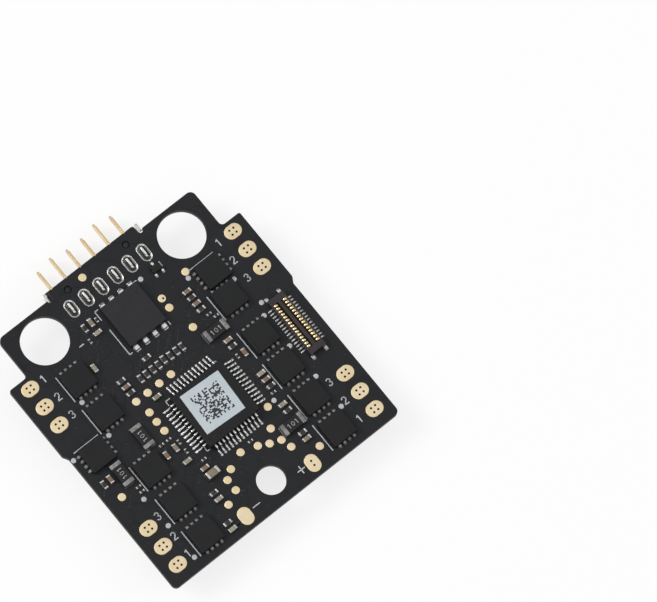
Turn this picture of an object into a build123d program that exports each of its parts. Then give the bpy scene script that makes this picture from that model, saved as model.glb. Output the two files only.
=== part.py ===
"""Electronic speed controller: a bare circuit board with parts soldered to both faces.

Millimetres. The board lies flat, front face up (+Z), with its pin header pointing along +Y. The origin is on
the ground, under the centre of the whole assembly's footprint. Every place on the board is given from the
middle of the header's row of joints, x to the right and y towards the header as that face is looked at.
"""
import os

from build123d import *

os.makedirs("parts", exist_ok=True)

# ---------------------------------------------------------------- board
board_width = 31.8
board_length = 33.8
board_thickness = 1.0
tongue_top = 3.05
waist_step = 0.4
waist_top = 9.1
waist_height = 0.65
shoulder_width = 2.5
shoulder_height = 5.17
ear_top = 2.3
ear_web = 1.25
ear_hole_radius = 2.7
ear_hole_y = -0.93
tail_hole_radius = 1.65
tail_hole_inset = 2.85
notch_width = 0.65
notch_floor = 1.93

# ---------------------------------------------------------------- header
header_pitch = 2.0
header_pins = 6
housing_overhang = 1.05
housing_front = 3.45
housing_rear = -0.45
housing_height = 3.0
relief_depth = 0.55
relief_height = 1.0
housing_edge = 0.15
blade_thickness = 0.25
blade_width = 1.2
blade_leg = 0.95
blade_leg_y = 0.2
blade_axis = 1.6
blade_reach = 5.9
long_blade_extra = 0.4
blade_tip = 0.4
blade_stub = 0.45
slot_clearance = 0.12
peg_radius = 0.35
peg_clearance = 0.08
peg_y = 1.95
peg_length = 0.8
joint_length = 2.3
joint_width = 1.4
joint_height = 0.3
tab_length = 1.05
tab_y = 2.75
tab_foot = 0.5
tab_thickness = 0.2
tab_height = 1.2

# ---------------------------------------------------------------- heights and pads
pad_thickness = 0.05
motor_pad = (2.1, 1.65)
motor_pad_inset = 1.9
motor_pad_pitch = 2.5
upper_motor_drop = 1.23
lower_motor_rise = 1.95
via_radius = 0.1
via_pitch = 0.56
power_pad = (1.62, 2.15)
power_pad_x = 4.63
power_pad_rise = 1.5
test_pad_radius = 0.46
bulk_pad = (3.1, 2.15)
ground_disc_radius = 1.3

# ---------------------------------------------------------------- packages
mcu_size = 7.0
mcu_height = 1.4
mcu_standoff = 0.1
mcu_centre = (0.33, -17.83)
mcu_edge = 0.12
lead_pitch = 0.5
lead_count = 12
lead_width = 0.22
lead_thickness = 0.15
lead_reach = 1.0
lead_foot = 0.5
lead_shoulder = 0.3
label_size = 5.05
label_thickness = 0.06
label_offset = (-0.19, 0.23)
label_turn = -3

phase_size = 3.05
phase_height = 0.8
phase_lead_pitch = 0.65
phase_lead = (0.35, 0.3, 0.2)

switch_size = (4.9, 5.3)
switch_height = 0.95
switch_centre = (-0.3, -4.65)
switch_lead_pitch = 1.27
switch_lead = (0.55, 0.6, 0.25)
switch_tab = (0.55, 0.32, 0.25)

driver_size = 4.0
driver_height = 0.8
driver_lead_pitch = 0.4
driver_lead_count = 7
driver_lead = (0.2, 0.3, 0.12)

shunt_size = (2.8, 1.35)
shunt_height = 0.6
shunt_end = 0.5

connector_centre = (12.88, -16.33)
connector_size = (2.1, 7.5)
connector_height = 0.9
connector_wall = 0.42
connector_rib = 0.42
connector_end = 0.75
connector_floor = 0.2
contact_pitch = 0.4
contacts_per_row = 15
contact_width = 0.2
contact_tail = 0.4

front_transistor = (4.9, -2.15)
front_transistor_size = (1.2, 0.8, 0.5)
back_transistor = (6.1, -5.57)
back_transistor_size = (2.9, 1.3, 1.0)
regulator = (-5.4, -26.38)
regulator_size = (1.0, 0.95, 0.4)

package_edge = 0.06
sticker_radius = 2.5
sticker_thickness = 0.1
sticker_centre = (-1.65, -3.62)

# Chip parts: length, width, height and the length of each plated end.
chip_0603 = (1.6, 0.85, 0.8, 0.35)
chip_0402 = (1.0, 0.5, 0.5, 0.22)
thin_0402 = (1.0, 0.5, 0.35, 0.22)
chip_0201 = (0.6, 0.3, 0.3, 0.15)
thin_0201 = (0.6, 0.3, 0.23, 0.15)
end_wrap = 0.02

# ---------------------------------------------------------------- derived places
half_width = board_width / 2
ear_half_width = half_width - shoulder_width
ear_hole_x = ear_half_width - ear_web - ear_hole_radius
shoulder_y = ear_top - shoulder_height
board_bottom = tongue_top - board_length
waist_y = shoulder_y - waist_top
lower_half_width = half_width - waist_step
row_half = header_pitch * (header_pins - 1) / 2
housing_half = row_half + housing_overhang
peg_x = 2 * header_pitch
tongue_half = housing_half - housing_edge
tail_hole_y = board_bottom + tail_hole_inset
long_reach = blade_reach + long_blade_extra

# The header's back is the lowest thing on the assembly and its blade tips reach furthest forward.
back_z = housing_height
front_z = back_z + board_thickness
row_y = -(board_bottom + long_reach) / 2

front = Plane(origin=(0, row_y, front_z))
back = Plane(origin=(0, row_y, back_z), x_dir=(-1, 0, 0), z_dir=(0, 0, -1))

upright = 90


def save(piece, name):
    """Label a finished piece and write it as its own STEP file."""
    piece.label = name
    export_step(piece, f"parts/{name}.step")


def spots_at(spots, turn=0):
    """Places on a face, each turned about that face's normal."""
    return [Location((x, y, 0), (0, 0, turn)) for x, y in spots]


def blocks(groups, size, base=0):
    """Separate rectangular blocks, one at each spot of each (face, turn, spots) group."""
    length, width, height = size
    with BuildPart() as made:
        for face, turn, spots in groups:
            with BuildSketch(face.offset(base)):
                with Locations(*spots_at(spots, turn)):
                    Rectangle(length, width)
        extrude(amount=height)
    return made.part


def package(face, centre, size, turn=0, base=0, edge=package_edge):
    """A moulded package: a block with its top edges and corners broken."""
    length, width, height = size
    with BuildPart() as made:
        with BuildSketch(face.offset(base)):
            with Locations(*spots_at([centre], turn)):
                Rectangle(length, width)
        extrude(amount=height)
        outward = made.faces().sort_by(Axis(face.origin, face.z_dir))[-1]
        chamfer(outward.edges(), edge)
    return made.part


# ---------------------------------------------------------------- bare board
header_x = [header_pitch * i - row_half for i in range(header_pins)]

with BuildPart() as bare_board:
    with BuildSketch(back):
        with BuildLine():
            FilletPolyline(
                (0, tongue_top),
                (tongue_half, tongue_top),
                (tongue_half, ear_top),
                (ear_half_width, ear_top),
                (ear_half_width, shoulder_y),
                (half_width, shoulder_y),
                (half_width, waist_y),
                (lower_half_width, waist_y - waist_height),
                (lower_half_width, board_bottom),
                (0, board_bottom),
                radius=[0.2, 0.05, 0.7, 0.5, 0.25, 0.4, 0.4, 0.6],
            )
            mirror(about=Plane.YZ)
        make_face()
        notch_x = tongue_half + notch_width / 2
        notch_top = ear_top - notch_floor + notch_width
        with Locations((notch_x, notch_floor), (-notch_x, notch_floor)):
            RectangleRounded(
                notch_width,
                2 * notch_top,
                notch_width / 2 - 0.01,
                align=(Align.CENTER, Align.MIN),
                mode=Mode.SUBTRACT,
            )
        with Locations((ear_hole_x, ear_hole_y), (-ear_hole_x, ear_hole_y)):
            Circle(ear_hole_radius, mode=Mode.SUBTRACT)
        with Locations((0, tail_hole_y)):
            Circle(tail_hole_radius, mode=Mode.SUBTRACT)
        with Locations((peg_x, peg_y), (-peg_x, peg_y)):
            Circle(peg_radius + peg_clearance, mode=Mode.SUBTRACT)
        with Locations(*[(x, blade_leg_y) for x in header_x]):
            SlotOverall(
                blade_leg + 2 * slot_clearance,
                blade_thickness + 2 * slot_clearance,
                rotation=upright,
                mode=Mode.SUBTRACT,
            )
    extrude(amount=-board_thickness)
save(bare_board.part, "bare_board")


# ---------------------------------------------------------------- header
def blade_outline(reach):
    """Side outline of a right-angle blade, y forward and height out of the board's back face."""
    leg_rear = blade_leg_y - blade_leg / 2
    leg_front = blade_leg_y + blade_leg / 2
    low = blade_axis - blade_width / 2
    high = blade_axis + blade_width / 2
    stub_end = -(board_thickness + blade_stub)
    return [
        (leg_rear, stub_end),
        (leg_rear, high),
        (reach - blade_tip, high),
        (reach, blade_axis + blade_tip / 4),
        (reach, blade_axis - blade_tip / 4),
        (reach - blade_tip, low),
        (leg_front, low),
        (leg_front, stub_end),
    ]


def side_plane(x):
    """Upright plane across the header at x, its own x forward and its own y out of the back face."""
    return Plane(origin=(x, row_y, back_z), x_dir=(0, 1, 0), z_dir=(-1, 0, 0))


def blade(x, reach, thickness):
    """One flat blade of the given thickness, centred on x."""
    with BuildPart() as made:
        with BuildSketch(side_plane(x)):
            with BuildLine():
                Polyline(*blade_outline(reach), close=True)
            make_face()
        extrude(amount=thickness / 2, both=True)
    return made.part


reaches = [long_reach if i % 3 == 1 else blade_reach for i in range(header_pins)]
blades = [blade(x, reach, blade_thickness) for x, reach in zip(header_x, reaches)]
for number, piece in enumerate(blades, start=1):
    save(piece, f"header_pin_{number}")

with BuildPart() as header_housing:
    with BuildSketch(side_plane(0)):
        with BuildLine():
            Polyline(
                (housing_rear, 0),
                (housing_rear, housing_height),
                (housing_front, housing_height),
                (housing_front, relief_height),
                (housing_front - relief_depth, relief_height),
                (housing_front - relief_depth, 0),
                close=True,
            )
        make_face()
    extrude(amount=housing_half, both=True)
    chamfer(header_housing.faces().sort_by(Axis.Z)[0].edges(), housing_edge)
    with BuildSketch(back):
        with Locations((peg_x, peg_y), (-peg_x, peg_y)):
            Circle(peg_radius)
    extrude(amount=-peg_length)
    for piece in blades:
        add(piece, mode=Mode.SUBTRACT)
    with BuildSketch(back.offset(housing_height)):
        with Locations(*[(x, blade_leg_y) for x in header_x]):
            Rectangle(blade_thickness, blade_leg)
    extrude(amount=blade_axis + blade_width / 2 - housing_height, mode=Mode.SUBTRACT)
save(header_housing.part, "header_housing")

with BuildPart() as header_solder:
    with BuildSketch(back):
        with Locations(*[(x, blade_leg_y) for x in header_x]):
            SlotOverall(
                blade_leg + 2 * slot_clearance,
                blade_thickness + 2 * slot_clearance,
                rotation=upright,
            )
    extrude(amount=-board_thickness)
    with BuildSketch(front):
        with Locations(*[(x, 0) for x in header_x]):
            SlotOverall(joint_length, joint_width, rotation=upright)
    extrude(amount=joint_height, taper=20)
    for piece in blades:
        add(piece, mode=Mode.SUBTRACT)
save(header_solder.part, "header_solder_joints")

with BuildPart() as hold_downs:
    with BuildSketch(back):
        with Locations((housing_half + tab_foot / 2, tab_y), (-housing_half - tab_foot / 2, tab_y)):
            Rectangle(tab_foot, tab_length)
    extrude(amount=tab_thickness)
    with BuildSketch(back):
        with Locations((housing_half + tab_thickness / 2, tab_y), (-housing_half - tab_thickness / 2, tab_y)):
            Rectangle(tab_thickness, tab_length)
    extrude(amount=tab_height)
save(hold_downs.part, "header_hold_downs")


# ---------------------------------------------------------------- solder pads
def wire_pads(spots, size, via_spots):
    """Rounded gold pads at the first list of spots, drilled with small vias at the second."""
    length, width = size
    with BuildPart() as made:
        with BuildSketch(front):
            with Locations(*spots):
                SlotOverall(max(length, width), min(length, width), rotation=0 if length > width else upright)
            with Locations(*via_spots):
                Circle(via_radius, mode=Mode.SUBTRACT)
        extrude(amount=pad_thickness)
    return made.part


upper_pad_x = half_width - motor_pad_inset
lower_pad_x = lower_half_width - motor_pad_inset
upper_rows = [shoulder_y - upper_motor_drop - motor_pad_pitch * i for i in range(3)]
lower_rows = [board_bottom + lower_motor_rise + motor_pad_pitch * i for i in range(3)]
motor_spots = [(side * upper_pad_x, y) for side in (-1, 1) for y in upper_rows]
motor_spots += [(side * lower_pad_x, y) for side in (-1, 1) for y in lower_rows]
via_square = [(i * via_pitch, j * via_pitch) for i in (-0.5, 0.5) for j in (-0.5, 0.5)]
motor_vias = [(x + dx, y + dy) for x, y in motor_spots for dx, dy in via_square]
save(wire_pads(motor_spots, motor_pad, motor_vias), "motor_wire_pads")

power_y = board_bottom + power_pad_rise
power_spots = [(side * power_pad_x, power_y) for side in (-1, 1)]
# Only the positive pad, on the right, is drilled.
power_vias = [(power_pad_x, power_y + j * via_pitch) for j in (-0.5, 0.5)]
save(wire_pads(power_spots, power_pad, power_vias), "power_wire_pads")

test_spots = [
    (-5.97, -12.25), (-4.4, -12.25), (-2.77, -12.22), (-1.17, -12.22),
    (-5.6, -14.05), (-5.63, -15.33), (-5.6, -16.6),
    (3.3, -5.12), (3.3, -6.4), (3.95, -9.65), (-1.95, 2.0), (7.15, -4.4),
    (4.72, -21.47), (3.48, -23.52), (1.2, -24.12), (2.35, -24.72), (3.6, -25.2), (3.95, -26.43),
    (-0.7, -23.52), (-2.67, -24.3), (-3.7, -25.0), (-3.7, -26.4), (-5.3, -27.15),
    (6.4, -28.28), (-13.7, -19.4),
]
with BuildPart() as test_pads:
    with BuildSketch(front):
        with Locations(*test_spots):
            Circle(test_pad_radius)
    extrude(amount=pad_thickness)
save(test_pads.part, "test_pads")

bulk_spots = [(-10.65, -17.5), (-10.65, -23.82), (12.77, -17.82), (12.77, -24.2)]
save(blocks([(back, 0, bulk_spots)], (*bulk_pad, pad_thickness)), "bulk_capacitor_pads")

with BuildPart() as ground_pad:
    with BuildSketch(back):
        with Locations((2.55, -3.05)):
            Circle(ground_disc_radius)
    extrude(amount=pad_thickness)
save(ground_pad.part, "round_ground_pad")

# ---------------------------------------------------------------- microcontroller
save(
    package(front, mcu_centre, (mcu_size, mcu_size, mcu_height), base=mcu_standoff, edge=mcu_edge),
    "microcontroller_body",
)

# A gull-wing lead's side outline: out of the body's wall, down, and along the board.
lead_top = mcu_standoff + mcu_height / 2
with BuildPart() as gull_lead:
    with BuildSketch(Plane.XZ):
        with BuildLine():
            Polyline(
                (0, lead_top),
                (lead_shoulder, lead_top),
                (lead_reach - lead_foot + lead_thickness / 2, lead_thickness),
                (lead_reach, lead_thickness),
                (lead_reach, 0),
                (lead_reach - lead_foot - lead_thickness / 2, 0),
                (lead_shoulder - lead_thickness / 2, lead_top - lead_thickness),
                (0, lead_top - lead_thickness),
                close=True,
            )
        make_face()
    extrude(amount=lead_width / 2, both=True)

with BuildPart() as mcu_leads:
    with Locations(front * Location((*mcu_centre, 0))):
        with PolarLocations(mcu_size / 2, 4):
            with GridLocations(0, lead_pitch, 1, lead_count):
                add(gull_lead.part)
save(mcu_leads.part, "microcontroller_leads")

label_centre = (mcu_centre[0] + label_offset[0], mcu_centre[1] + label_offset[1])
label_spot = [(front, label_turn, [label_centre])]
save(blocks(label_spot, (label_size, label_size, label_thickness), mcu_standoff + mcu_height), "printed_label")

# ---------------------------------------------------------------- power switches
phase_upright = [
    (-9.4, -6.55), (-9.4, -11.1), (-9.35, -19.1), (-9.35, -23.55), (-9.35, -28.05),
    (9.0, -9.65), (9.0, -15.0), (9.0, -19.25), (9.05, -23.6), (9.05, -27.95),
]
phase_turned = [(-12.88, -14.15), (9.45, -6.2)]
phase_places = [(spot, 0) for spot in phase_upright] + [(spot, upright) for spot in phase_turned]
for number, (spot, turn) in enumerate(phase_places, start=1):
    body = package(front, spot, (phase_size, phase_size, phase_height), turn)
    save(body, f"phase_switch_{number:02d}")

with BuildPart() as phase_leads:
    for spot, turn in phase_places:
        with BuildSketch(front):
            with Locations(*spots_at([spot], turn)):
                with GridLocations(phase_lead_pitch, phase_size + phase_lead[1], 4, 2):
                    Rectangle(phase_lead[0], phase_lead[1])
    extrude(amount=phase_lead[2])
save(phase_leads.part, "phase_switch_leads")

save(package(front, switch_centre, (*switch_size, switch_height)), "main_switch_body")
switch_x = [switch_centre[0] + switch_lead_pitch * (i - 1.5) for i in range(4)]
lead_y = switch_centre[1] - (switch_size[1] + switch_lead[1]) / 2
tab_row_y = switch_centre[1] + (switch_size[1] + switch_tab[1]) / 2
with BuildPart() as main_switch_leads:
    with BuildSketch(front):
        with Locations(*[(x, lead_y) for x in switch_x]):
            Rectangle(switch_lead[0], switch_lead[1])
        with Locations(*[(x, tab_row_y) for x in switch_x]):
            Rectangle(switch_tab[0], switch_tab[1])
    extrude(amount=switch_lead[2])
save(main_switch_leads.part, "main_switch_leads")

# ---------------------------------------------------------------- gate drivers
driver_places = [(-2.62, -11.65), (4.42, -11.73), (-2.62, -21.03), (4.45, -21.07)]
for number, spot in enumerate(driver_places, start=1):
    save(package(back, spot, (driver_size, driver_size, driver_height)), f"gate_driver_{number}")

with BuildPart() as driver_leads:
    with BuildSketch(back):
        for spot in driver_places:
            with Locations(spot):
                with GridLocations(driver_lead_pitch, driver_size + driver_lead[1], driver_lead_count, 2):
                    Rectangle(driver_lead[0], driver_lead[1])
                with GridLocations(driver_size + driver_lead[1], driver_lead_pitch, 2, driver_lead_count):
                    Rectangle(driver_lead[1], driver_lead[0])
    extrude(amount=driver_lead[2])
save(driver_leads.part, "gate_driver_leads")

# ---------------------------------------------------------------- current shunts
shunt_places = [((-7.9, -15.65), upright), ((-12.15, -17.45), upright), ((5.6, -11.55), 0), ((5.6, -24.65), 0)]
shunt_core = shunt_size[0] - 2 * shunt_end
for number, (spot, turn) in enumerate(shunt_places, start=1):
    body = package(front, spot, (shunt_core, shunt_size[1] - end_wrap, shunt_height), turn, edge=end_wrap)
    save(body, f"current_shunt_{number}")


def plated_ends(groups):
    """Both plated ends of every chip in (face, turn, spots, chip) groups."""
    with BuildPart() as made:
        for face, turn, spots, (length, width, height, end) in groups:
            with BuildSketch(face):
                with Locations(*spots_at(spots, turn)):
                    with GridLocations(length - end, 0, 2, 1):
                        Rectangle(end, width)
            extrude(amount=height)
    return made.part


def chip_bodies(groups):
    """The ceramic between the plated ends, a little thinner than they are."""
    with BuildPart() as made:
        for face, turn, spots, (length, width, height, end) in groups:
            with BuildSketch(face):
                with Locations(*spots_at(spots, turn)):
                    Rectangle(length - 2 * end, width - end_wrap)
            extrude(amount=height - end_wrap)
    return made.part


shunt_chip = (*shunt_size, shunt_height, shunt_end)
shunt_groups = [(front, turn, [spot], shunt_chip) for spot, turn in shunt_places]
save(plated_ends(shunt_groups), "current_shunt_ends")

# ---------------------------------------------------------------- board-to-board connector
trough = (connector_size[0] - connector_rib) / 2 - connector_wall
trough_x = (connector_rib + trough) / 2
trough_length = connector_size[1] - 2 * connector_end
with BuildPart() as connector_housing:
    with BuildSketch(front):
        with Locations(connector_centre):
            Rectangle(*connector_size)
    extrude(amount=connector_height)
    chamfer(connector_housing.faces().sort_by(Axis.Z)[-1].edges(), package_edge)
    with BuildSketch(front.offset(connector_floor)):
        with Locations(connector_centre):
            with GridLocations(2 * trough_x, 0, 2, 1):
                Rectangle(trough, trough_length)
    extrude(amount=connector_height, mode=Mode.SUBTRACT)
save(connector_housing.part, "connector_housing")

contact_run = contact_pitch * (contacts_per_row - 1)
with BuildPart() as contacts:
    with BuildSketch(front.offset(connector_floor)):
        with Locations(connector_centre):
            with GridLocations(2 * trough_x, contact_pitch, 2, contacts_per_row):
                Rectangle(trough, contact_width)
    extrude(amount=connector_height - 2 * connector_floor)
save(contacts.part, "connector_contacts")

tail_x = connector_size[0] / 2 + contact_tail / 2
end_y = connector_size[1] / 2 + contact_tail / 2
with BuildPart() as connector_tails:
    with BuildSketch(front):
        with Locations(connector_centre):
            with GridLocations(2 * tail_x, contact_pitch, 2, contacts_per_row):
                Rectangle(contact_tail, contact_width)
            with GridLocations(connector_size[0] - contact_tail, 2 * end_y, 2, 2):
                Rectangle(contact_tail, contact_tail)
    extrude(amount=lead_thickness)
save(connector_tails.part, "connector_solder_tails")

# ---------------------------------------------------------------- small packages
save(package(front, front_transistor, front_transistor_size), "front_transistor")
save(package(back, back_transistor, back_transistor_size), "back_transistor")
save(package(back, regulator, regulator_size), "regulator")


def feet(face, centre, size, below, above, foot):
    """Flat feet outside a small package: x offsets of those below it and above it."""
    low = centre[1] - (size[1] + foot[1]) / 2
    high = centre[1] + (size[1] + foot[1]) / 2
    spots = [(centre[0] + x, low) for x in below] + [(centre[0] + x, high) for x in above]
    return blocks([(face, 0, spots)], foot)


with BuildPart() as small_leads:
    add(feet(front, front_transistor, front_transistor_size, (-0.45, 0.45), (0,), (0.3, 0.35, 0.15)))
    add(feet(back, back_transistor, back_transistor_size, (-0.95, 0.95), (0.05,), (0.45, 0.6, 0.2)))
    add(feet(back, regulator, regulator_size, (-0.33, 0.33), (-0.33, 0.33), (0.22, 0.2, 0.1)))
save(small_leads.part, "small_package_leads")

# ---------------------------------------------------------------- chip parts
# Each list holds chip centres; "across" chips lie along x and "along" chips lie along y.
caps_0402_front_across = [
    (-4.5, -3.8), (5.85, -6.25), (5.85, -7.9), (-3.95, -13.25), (-5.85, -10.35), (5.95, -13.15),
    (6.45, -18.2), (6.45, -19.05), (6.1, -22.3), (5.8, -26.8), (-5.8, -20.75), (-4.8, -22.5),
    (-5.75, -26.05), (-6.65, -29.5),
]
caps_0402_front_along = [
    (-4.4, -2.5), (-7.23, -6.65), (6.5, -15.3), (-13.5, -17.15), (-7.15, -18.9), (-5.88, -18.85),
]
resistors_0402_front_across = [
    (5.85, -7.05), (5.85, -8.7), (-5.85, -9.5), (-5.85, -11.15), (5.95, -13.95), (5.85, -26.0),
    (-5.75, -25.2), (-6.65, -28.65), (-2.1, -9.2), (6.45, -19.9), (6.15, -23.12),
]
resistors_0402_front_along = [
    (-5.3, -2.57), (-14.35, -17.2), (-0.8, -10.5), (-4.05, -10.62), (-3.25, -10.62), (-2.4, -10.62),
    (-1.6, -10.62), (0.03, -10.62), (0.87, -10.62), (1.65, -10.62),
]
resistors_0201_front_across = [
    (6.2, -9.63), (6.7, -10.25), (6.2, -20.65), (-6.85, -17.65), (-5.87, -17.65), (-4.25, -21.68),
    (0.9, -23.25), (-11.62, -19.65), (-11.62, -20.28),
]
resistors_0201_front_along = [(-3.7, -2.62), (-5.7, -4.03), (5.68, -15.15), (-5.18, -18.55), (-5.18, -19.8)]
caps_0603_front_across = [(-4.5, -23.45)]

caps_0603_back_across = [(-9.75, -11.57), (2.6, -15.58), (6.6, -16.15), (-6.85, -20.52)]
caps_0603_back_along = [
    (-6.25, -7.25), (-7.8, -10.55), (-5.6, -15.25), (-6.3, -17.8), (4.75, -16.6), (3.92, -25.75),
    (5.1, -25.87),
]
caps_0402_back_across = [
    (-6.0, -12.1), (-3.7, -14.72), (-1.15, -14.72), (-4.7, -18.22), (7.78, -10.97), (-13.75, -25.35),
    (-5.75, -24.6), (-3.75, -24.1), (-1.2, -24.1), (-3.55, -25.5), (2.35, -24.0), (7.75, -20.35),
    (7.75, -22.82),
]
caps_0402_back_along = [
    (-5.58, -9.45), (7.45, -12.77), (7.45, -14.6), (-5.72, -22.55), (-3.77, -26.9), (6.22, -25.87),
]
resistors_0402_back_across = [
    (-7.27, -4.75), (-9.42, -8.02), (-8.72, -13.3), (-8.7, -14.33), (9.98, -5.4), (8.85, -7.38),
    (9.85, -13.6), (13.45, -13.05), (6.42, -18.1), (7.9, -19.2), (-6.38, -19.4), (-11.35, -28.22),
    (9.4, -21.07), (8.25, -24.12), (0.93, -8.0),
]
resistors_0402_back_along = [
    (-10.8, -7.07), (-5.57, -3.1), (-4.8, -3.12), (-6.65, -10.2), (-6.65, -15.57), (0.5, -9.87),
    (3.8, -16.93), (11.75, -9.15), (10.6, -12.35), (-14.78, -18.6), (-13.5, -20.22), (-14.3, -23.35),
    (-6.5, -22.55), (-10.65, -26.55), (-11.9, -29.6), (10.7, -26.28), (10.85, -28.6), (3.0, -25.22),
]
caps_0201_back_across = [
    (-10.2, -12.4), (-13.6, -13.2), (0.95, -21.75), (1.25, -13.35), (9.6, -12.1), (-13.95, -24.6),
    (-9.65, -26.4), (-5.65, -25.25), (-6.4, -28.3), (9.7, -26.7), (11.85, -29.65),
]
caps_0201_back_along = [
    (-12.5, -5.9), (-9.0, -5.75), (-3.55, -6.65), (12.0, -5.15), (10.7, -7.5), (-9.05, -9.2),
    (-9.95, -14.35), (-7.4, -15.95), (-13.45, -18.7), (-4.5, -17.05), (10.8, -9.1), (11.6, -13.8),
    (13.75, -12.05), (7.5, -17.6), (9.9, -20.05), (-13.45, -21.7), (-12.55, -28.2), (-10.45, -29.78),
    (-6.9, -24.25), (9.15, -22.6), (9.38, -24.35),
]
resistors_0201_back_across = [
    (-8.62, -6.7), (-12.75, -9.35), (-10.1, -13.05), (-13.55, -13.8), (-13.47, -15.75),
    (-13.47, -16.4), (1.16, -7.22), (1.22, -12.05), (1.2, -12.65), (-0.87, -18.15), (1.0, -19.15),
    (1.0, -19.85), (1.0, -20.45), (0.95, -22.4), (0.95, -23.0), (9.65, -10.05), (12.35, -10.85),
    (13.55, -10.85), (9.65, -12.75), (-12.05, -25.93), (-12.05, -26.6), (-9.65, -27.0),
    (-5.7, -27.7), (-6.38, -28.9), (-6.62, -30.0), (9.7, -25.75), (11.85, -29.0),
]
resistors_0201_back_along = [
    (-13.1, -5.86), (-8.3, -5.72), (-5.9, -4.95), (-4.8, -6.65), (-4.15, -6.65), (-2.85, -6.65),
    (-2.25, -6.65), (-1.5, -7.82), (-0.88, -7.82), (-0.22, -7.82), (2.15, -7.82), (2.75, -7.82),
    (3.5, -7.82), (4.12, -7.82), (11.4, -5.15), (12.7, -5.65), (13.35, -5.65), (12.05, -6.95),
    (12.7, -6.97), (10.1, -7.5), (-12.45, -10.2), (-11.35, -10.05), (-11.35, -11.2), (-9.65, -9.2),
    (-10.5, -14.3), (-14.45, -13.4), (-8.0, -15.9), (-14.05, -18.72), (-14.25, -20.05),
    (1.55, -14.25), (-5.05, -17.05), (-3.85, -17.05), (-3.2, -17.05), (-2.5, -17.05),
    (-1.9, -16.9), (-1.25, -16.9), (-0.35, -16.93), (1.8, -22.97), (10.25, -9.1), (11.0, -13.75),
    (14.45, -12.05), (8.2, -17.55), (9.3, -20.02), (-14.88, -21.05), (-14.0, -21.7),
    (-14.6, -27.5), (-14.6, -28.85), (-13.1, -28.15), (-11.05, -29.78), (-7.5, -24.2),
    (-6.4, -26.75), (9.85, -22.52), (10.0, -24.25), (11.5, -26.85), (12.2, -26.85),
    (13.4, -28.15), (14.1, -28.15), (-4.45, -26.8),
]
bead_back_along = [(-4.3, -29.0)]

big_capacitors = [
    (front, 0, caps_0603_front_across, chip_0603),
    (back, 0, caps_0603_back_across, chip_0603),
    (back, upright, caps_0603_back_along, chip_0603),
]
bead = [(back, upright, bead_back_along, chip_0603)]
small_capacitors = [
    (front, 0, caps_0402_front_across, chip_0402),
    (front, upright, caps_0402_front_along, chip_0402),
    (back, 0, caps_0402_back_across, chip_0402),
    (back, upright, caps_0402_back_along, chip_0402),
]
small_resistors = [
    (front, 0, resistors_0402_front_across, thin_0402),
    (front, upright, resistors_0402_front_along, thin_0402),
    (back, 0, resistors_0402_back_across, thin_0402),
    (back, upright, resistors_0402_back_along, thin_0402),
]
tiny_capacitors = [
    (back, 0, caps_0201_back_across, chip_0201),
    (back, upright, caps_0201_back_along, chip_0201),
]
tiny_resistors = [
    (front, 0, resistors_0201_front_across, thin_0201),
    (front, upright, resistors_0201_front_along, thin_0201),
    (back, 0, resistors_0201_back_across, thin_0201),
    (back, upright, resistors_0201_back_along, thin_0201),
]
save(chip_bodies(big_capacitors), "capacitors_0603")
save(chip_bodies(bead), "ferrite_bead")
save(plated_ends(big_capacitors + bead), "ends_0603")
save(chip_bodies(small_capacitors), "capacitors_0402")
save(chip_bodies(small_resistors), "resistors_0402")
save(plated_ends(small_capacitors + small_resistors), "ends_0402")
save(chip_bodies(tiny_capacitors), "capacitors_0201")
save(chip_bodies(tiny_resistors), "resistors_0201")
save(plated_ends(tiny_capacitors + tiny_resistors), "ends_0201")

# ---------------------------------------------------------------- paper sticker
with BuildPart() as sticker:
    with BuildSketch(back):
        with Locations(sticker_centre):
            Circle(sticker_radius)
    extrude(amount=sticker_thickness)
save(sticker.part, "round_sticker")
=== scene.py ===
import math

import bpy
import numpy as np
from mathutils import Matrix, Vector


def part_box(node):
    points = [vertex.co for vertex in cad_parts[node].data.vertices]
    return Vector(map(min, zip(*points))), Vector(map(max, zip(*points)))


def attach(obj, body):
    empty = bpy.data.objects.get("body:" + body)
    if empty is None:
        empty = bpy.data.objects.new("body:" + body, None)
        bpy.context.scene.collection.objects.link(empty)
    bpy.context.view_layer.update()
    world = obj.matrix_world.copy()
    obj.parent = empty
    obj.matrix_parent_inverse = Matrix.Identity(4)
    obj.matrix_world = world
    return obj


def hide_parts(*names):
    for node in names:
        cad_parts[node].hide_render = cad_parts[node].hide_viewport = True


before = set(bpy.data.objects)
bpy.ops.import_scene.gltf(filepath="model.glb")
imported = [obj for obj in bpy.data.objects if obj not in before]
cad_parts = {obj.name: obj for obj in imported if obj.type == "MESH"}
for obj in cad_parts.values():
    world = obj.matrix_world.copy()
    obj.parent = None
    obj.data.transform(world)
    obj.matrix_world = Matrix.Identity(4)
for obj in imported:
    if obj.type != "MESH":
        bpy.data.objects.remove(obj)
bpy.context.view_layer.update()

# Lengths are millimetres until a mesh is laid. A place on either face of the board is x across the board, y
# along it, and h out of that face. Ink is placed with y counted from the header's row of joints.
MM = 0.001
FRONT, BACK = 1, -1
back_z, front_z = (corner.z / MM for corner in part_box("bare_board"))
face_z = {FRONT: front_z, BACK: back_z}
joint_row = sum(corner.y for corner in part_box("header_solder_joints")) / 2 / MM
draws = np.random.default_rng(20)

# How far ink, low rings and solder start inside what they lie on.
INK_SUNK = 0.004
SOLDER_SUNK = 0.02
# CAD triangles are welded within this many metres, merged where level and rounded where sharp.
WELD_GAP = 1e-7
LEVEL, SHARP = math.radians(1), math.radians(40)


# ---------------------------------------------------------------- reading the frame
def corners_of(node):
    """Lowest and highest corner of a CAD node, in mm."""
    return [np.array(corner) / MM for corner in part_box(node)]


def places_of(mesh):
    """Every point of a mesh, in mm, as rows of x, y and z."""
    places = np.zeros(len(mesh.vertices) * 3, np.float32)
    mesh.vertices.foreach_get("co", places)
    return places.reshape(-1, 3) / MM


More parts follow.
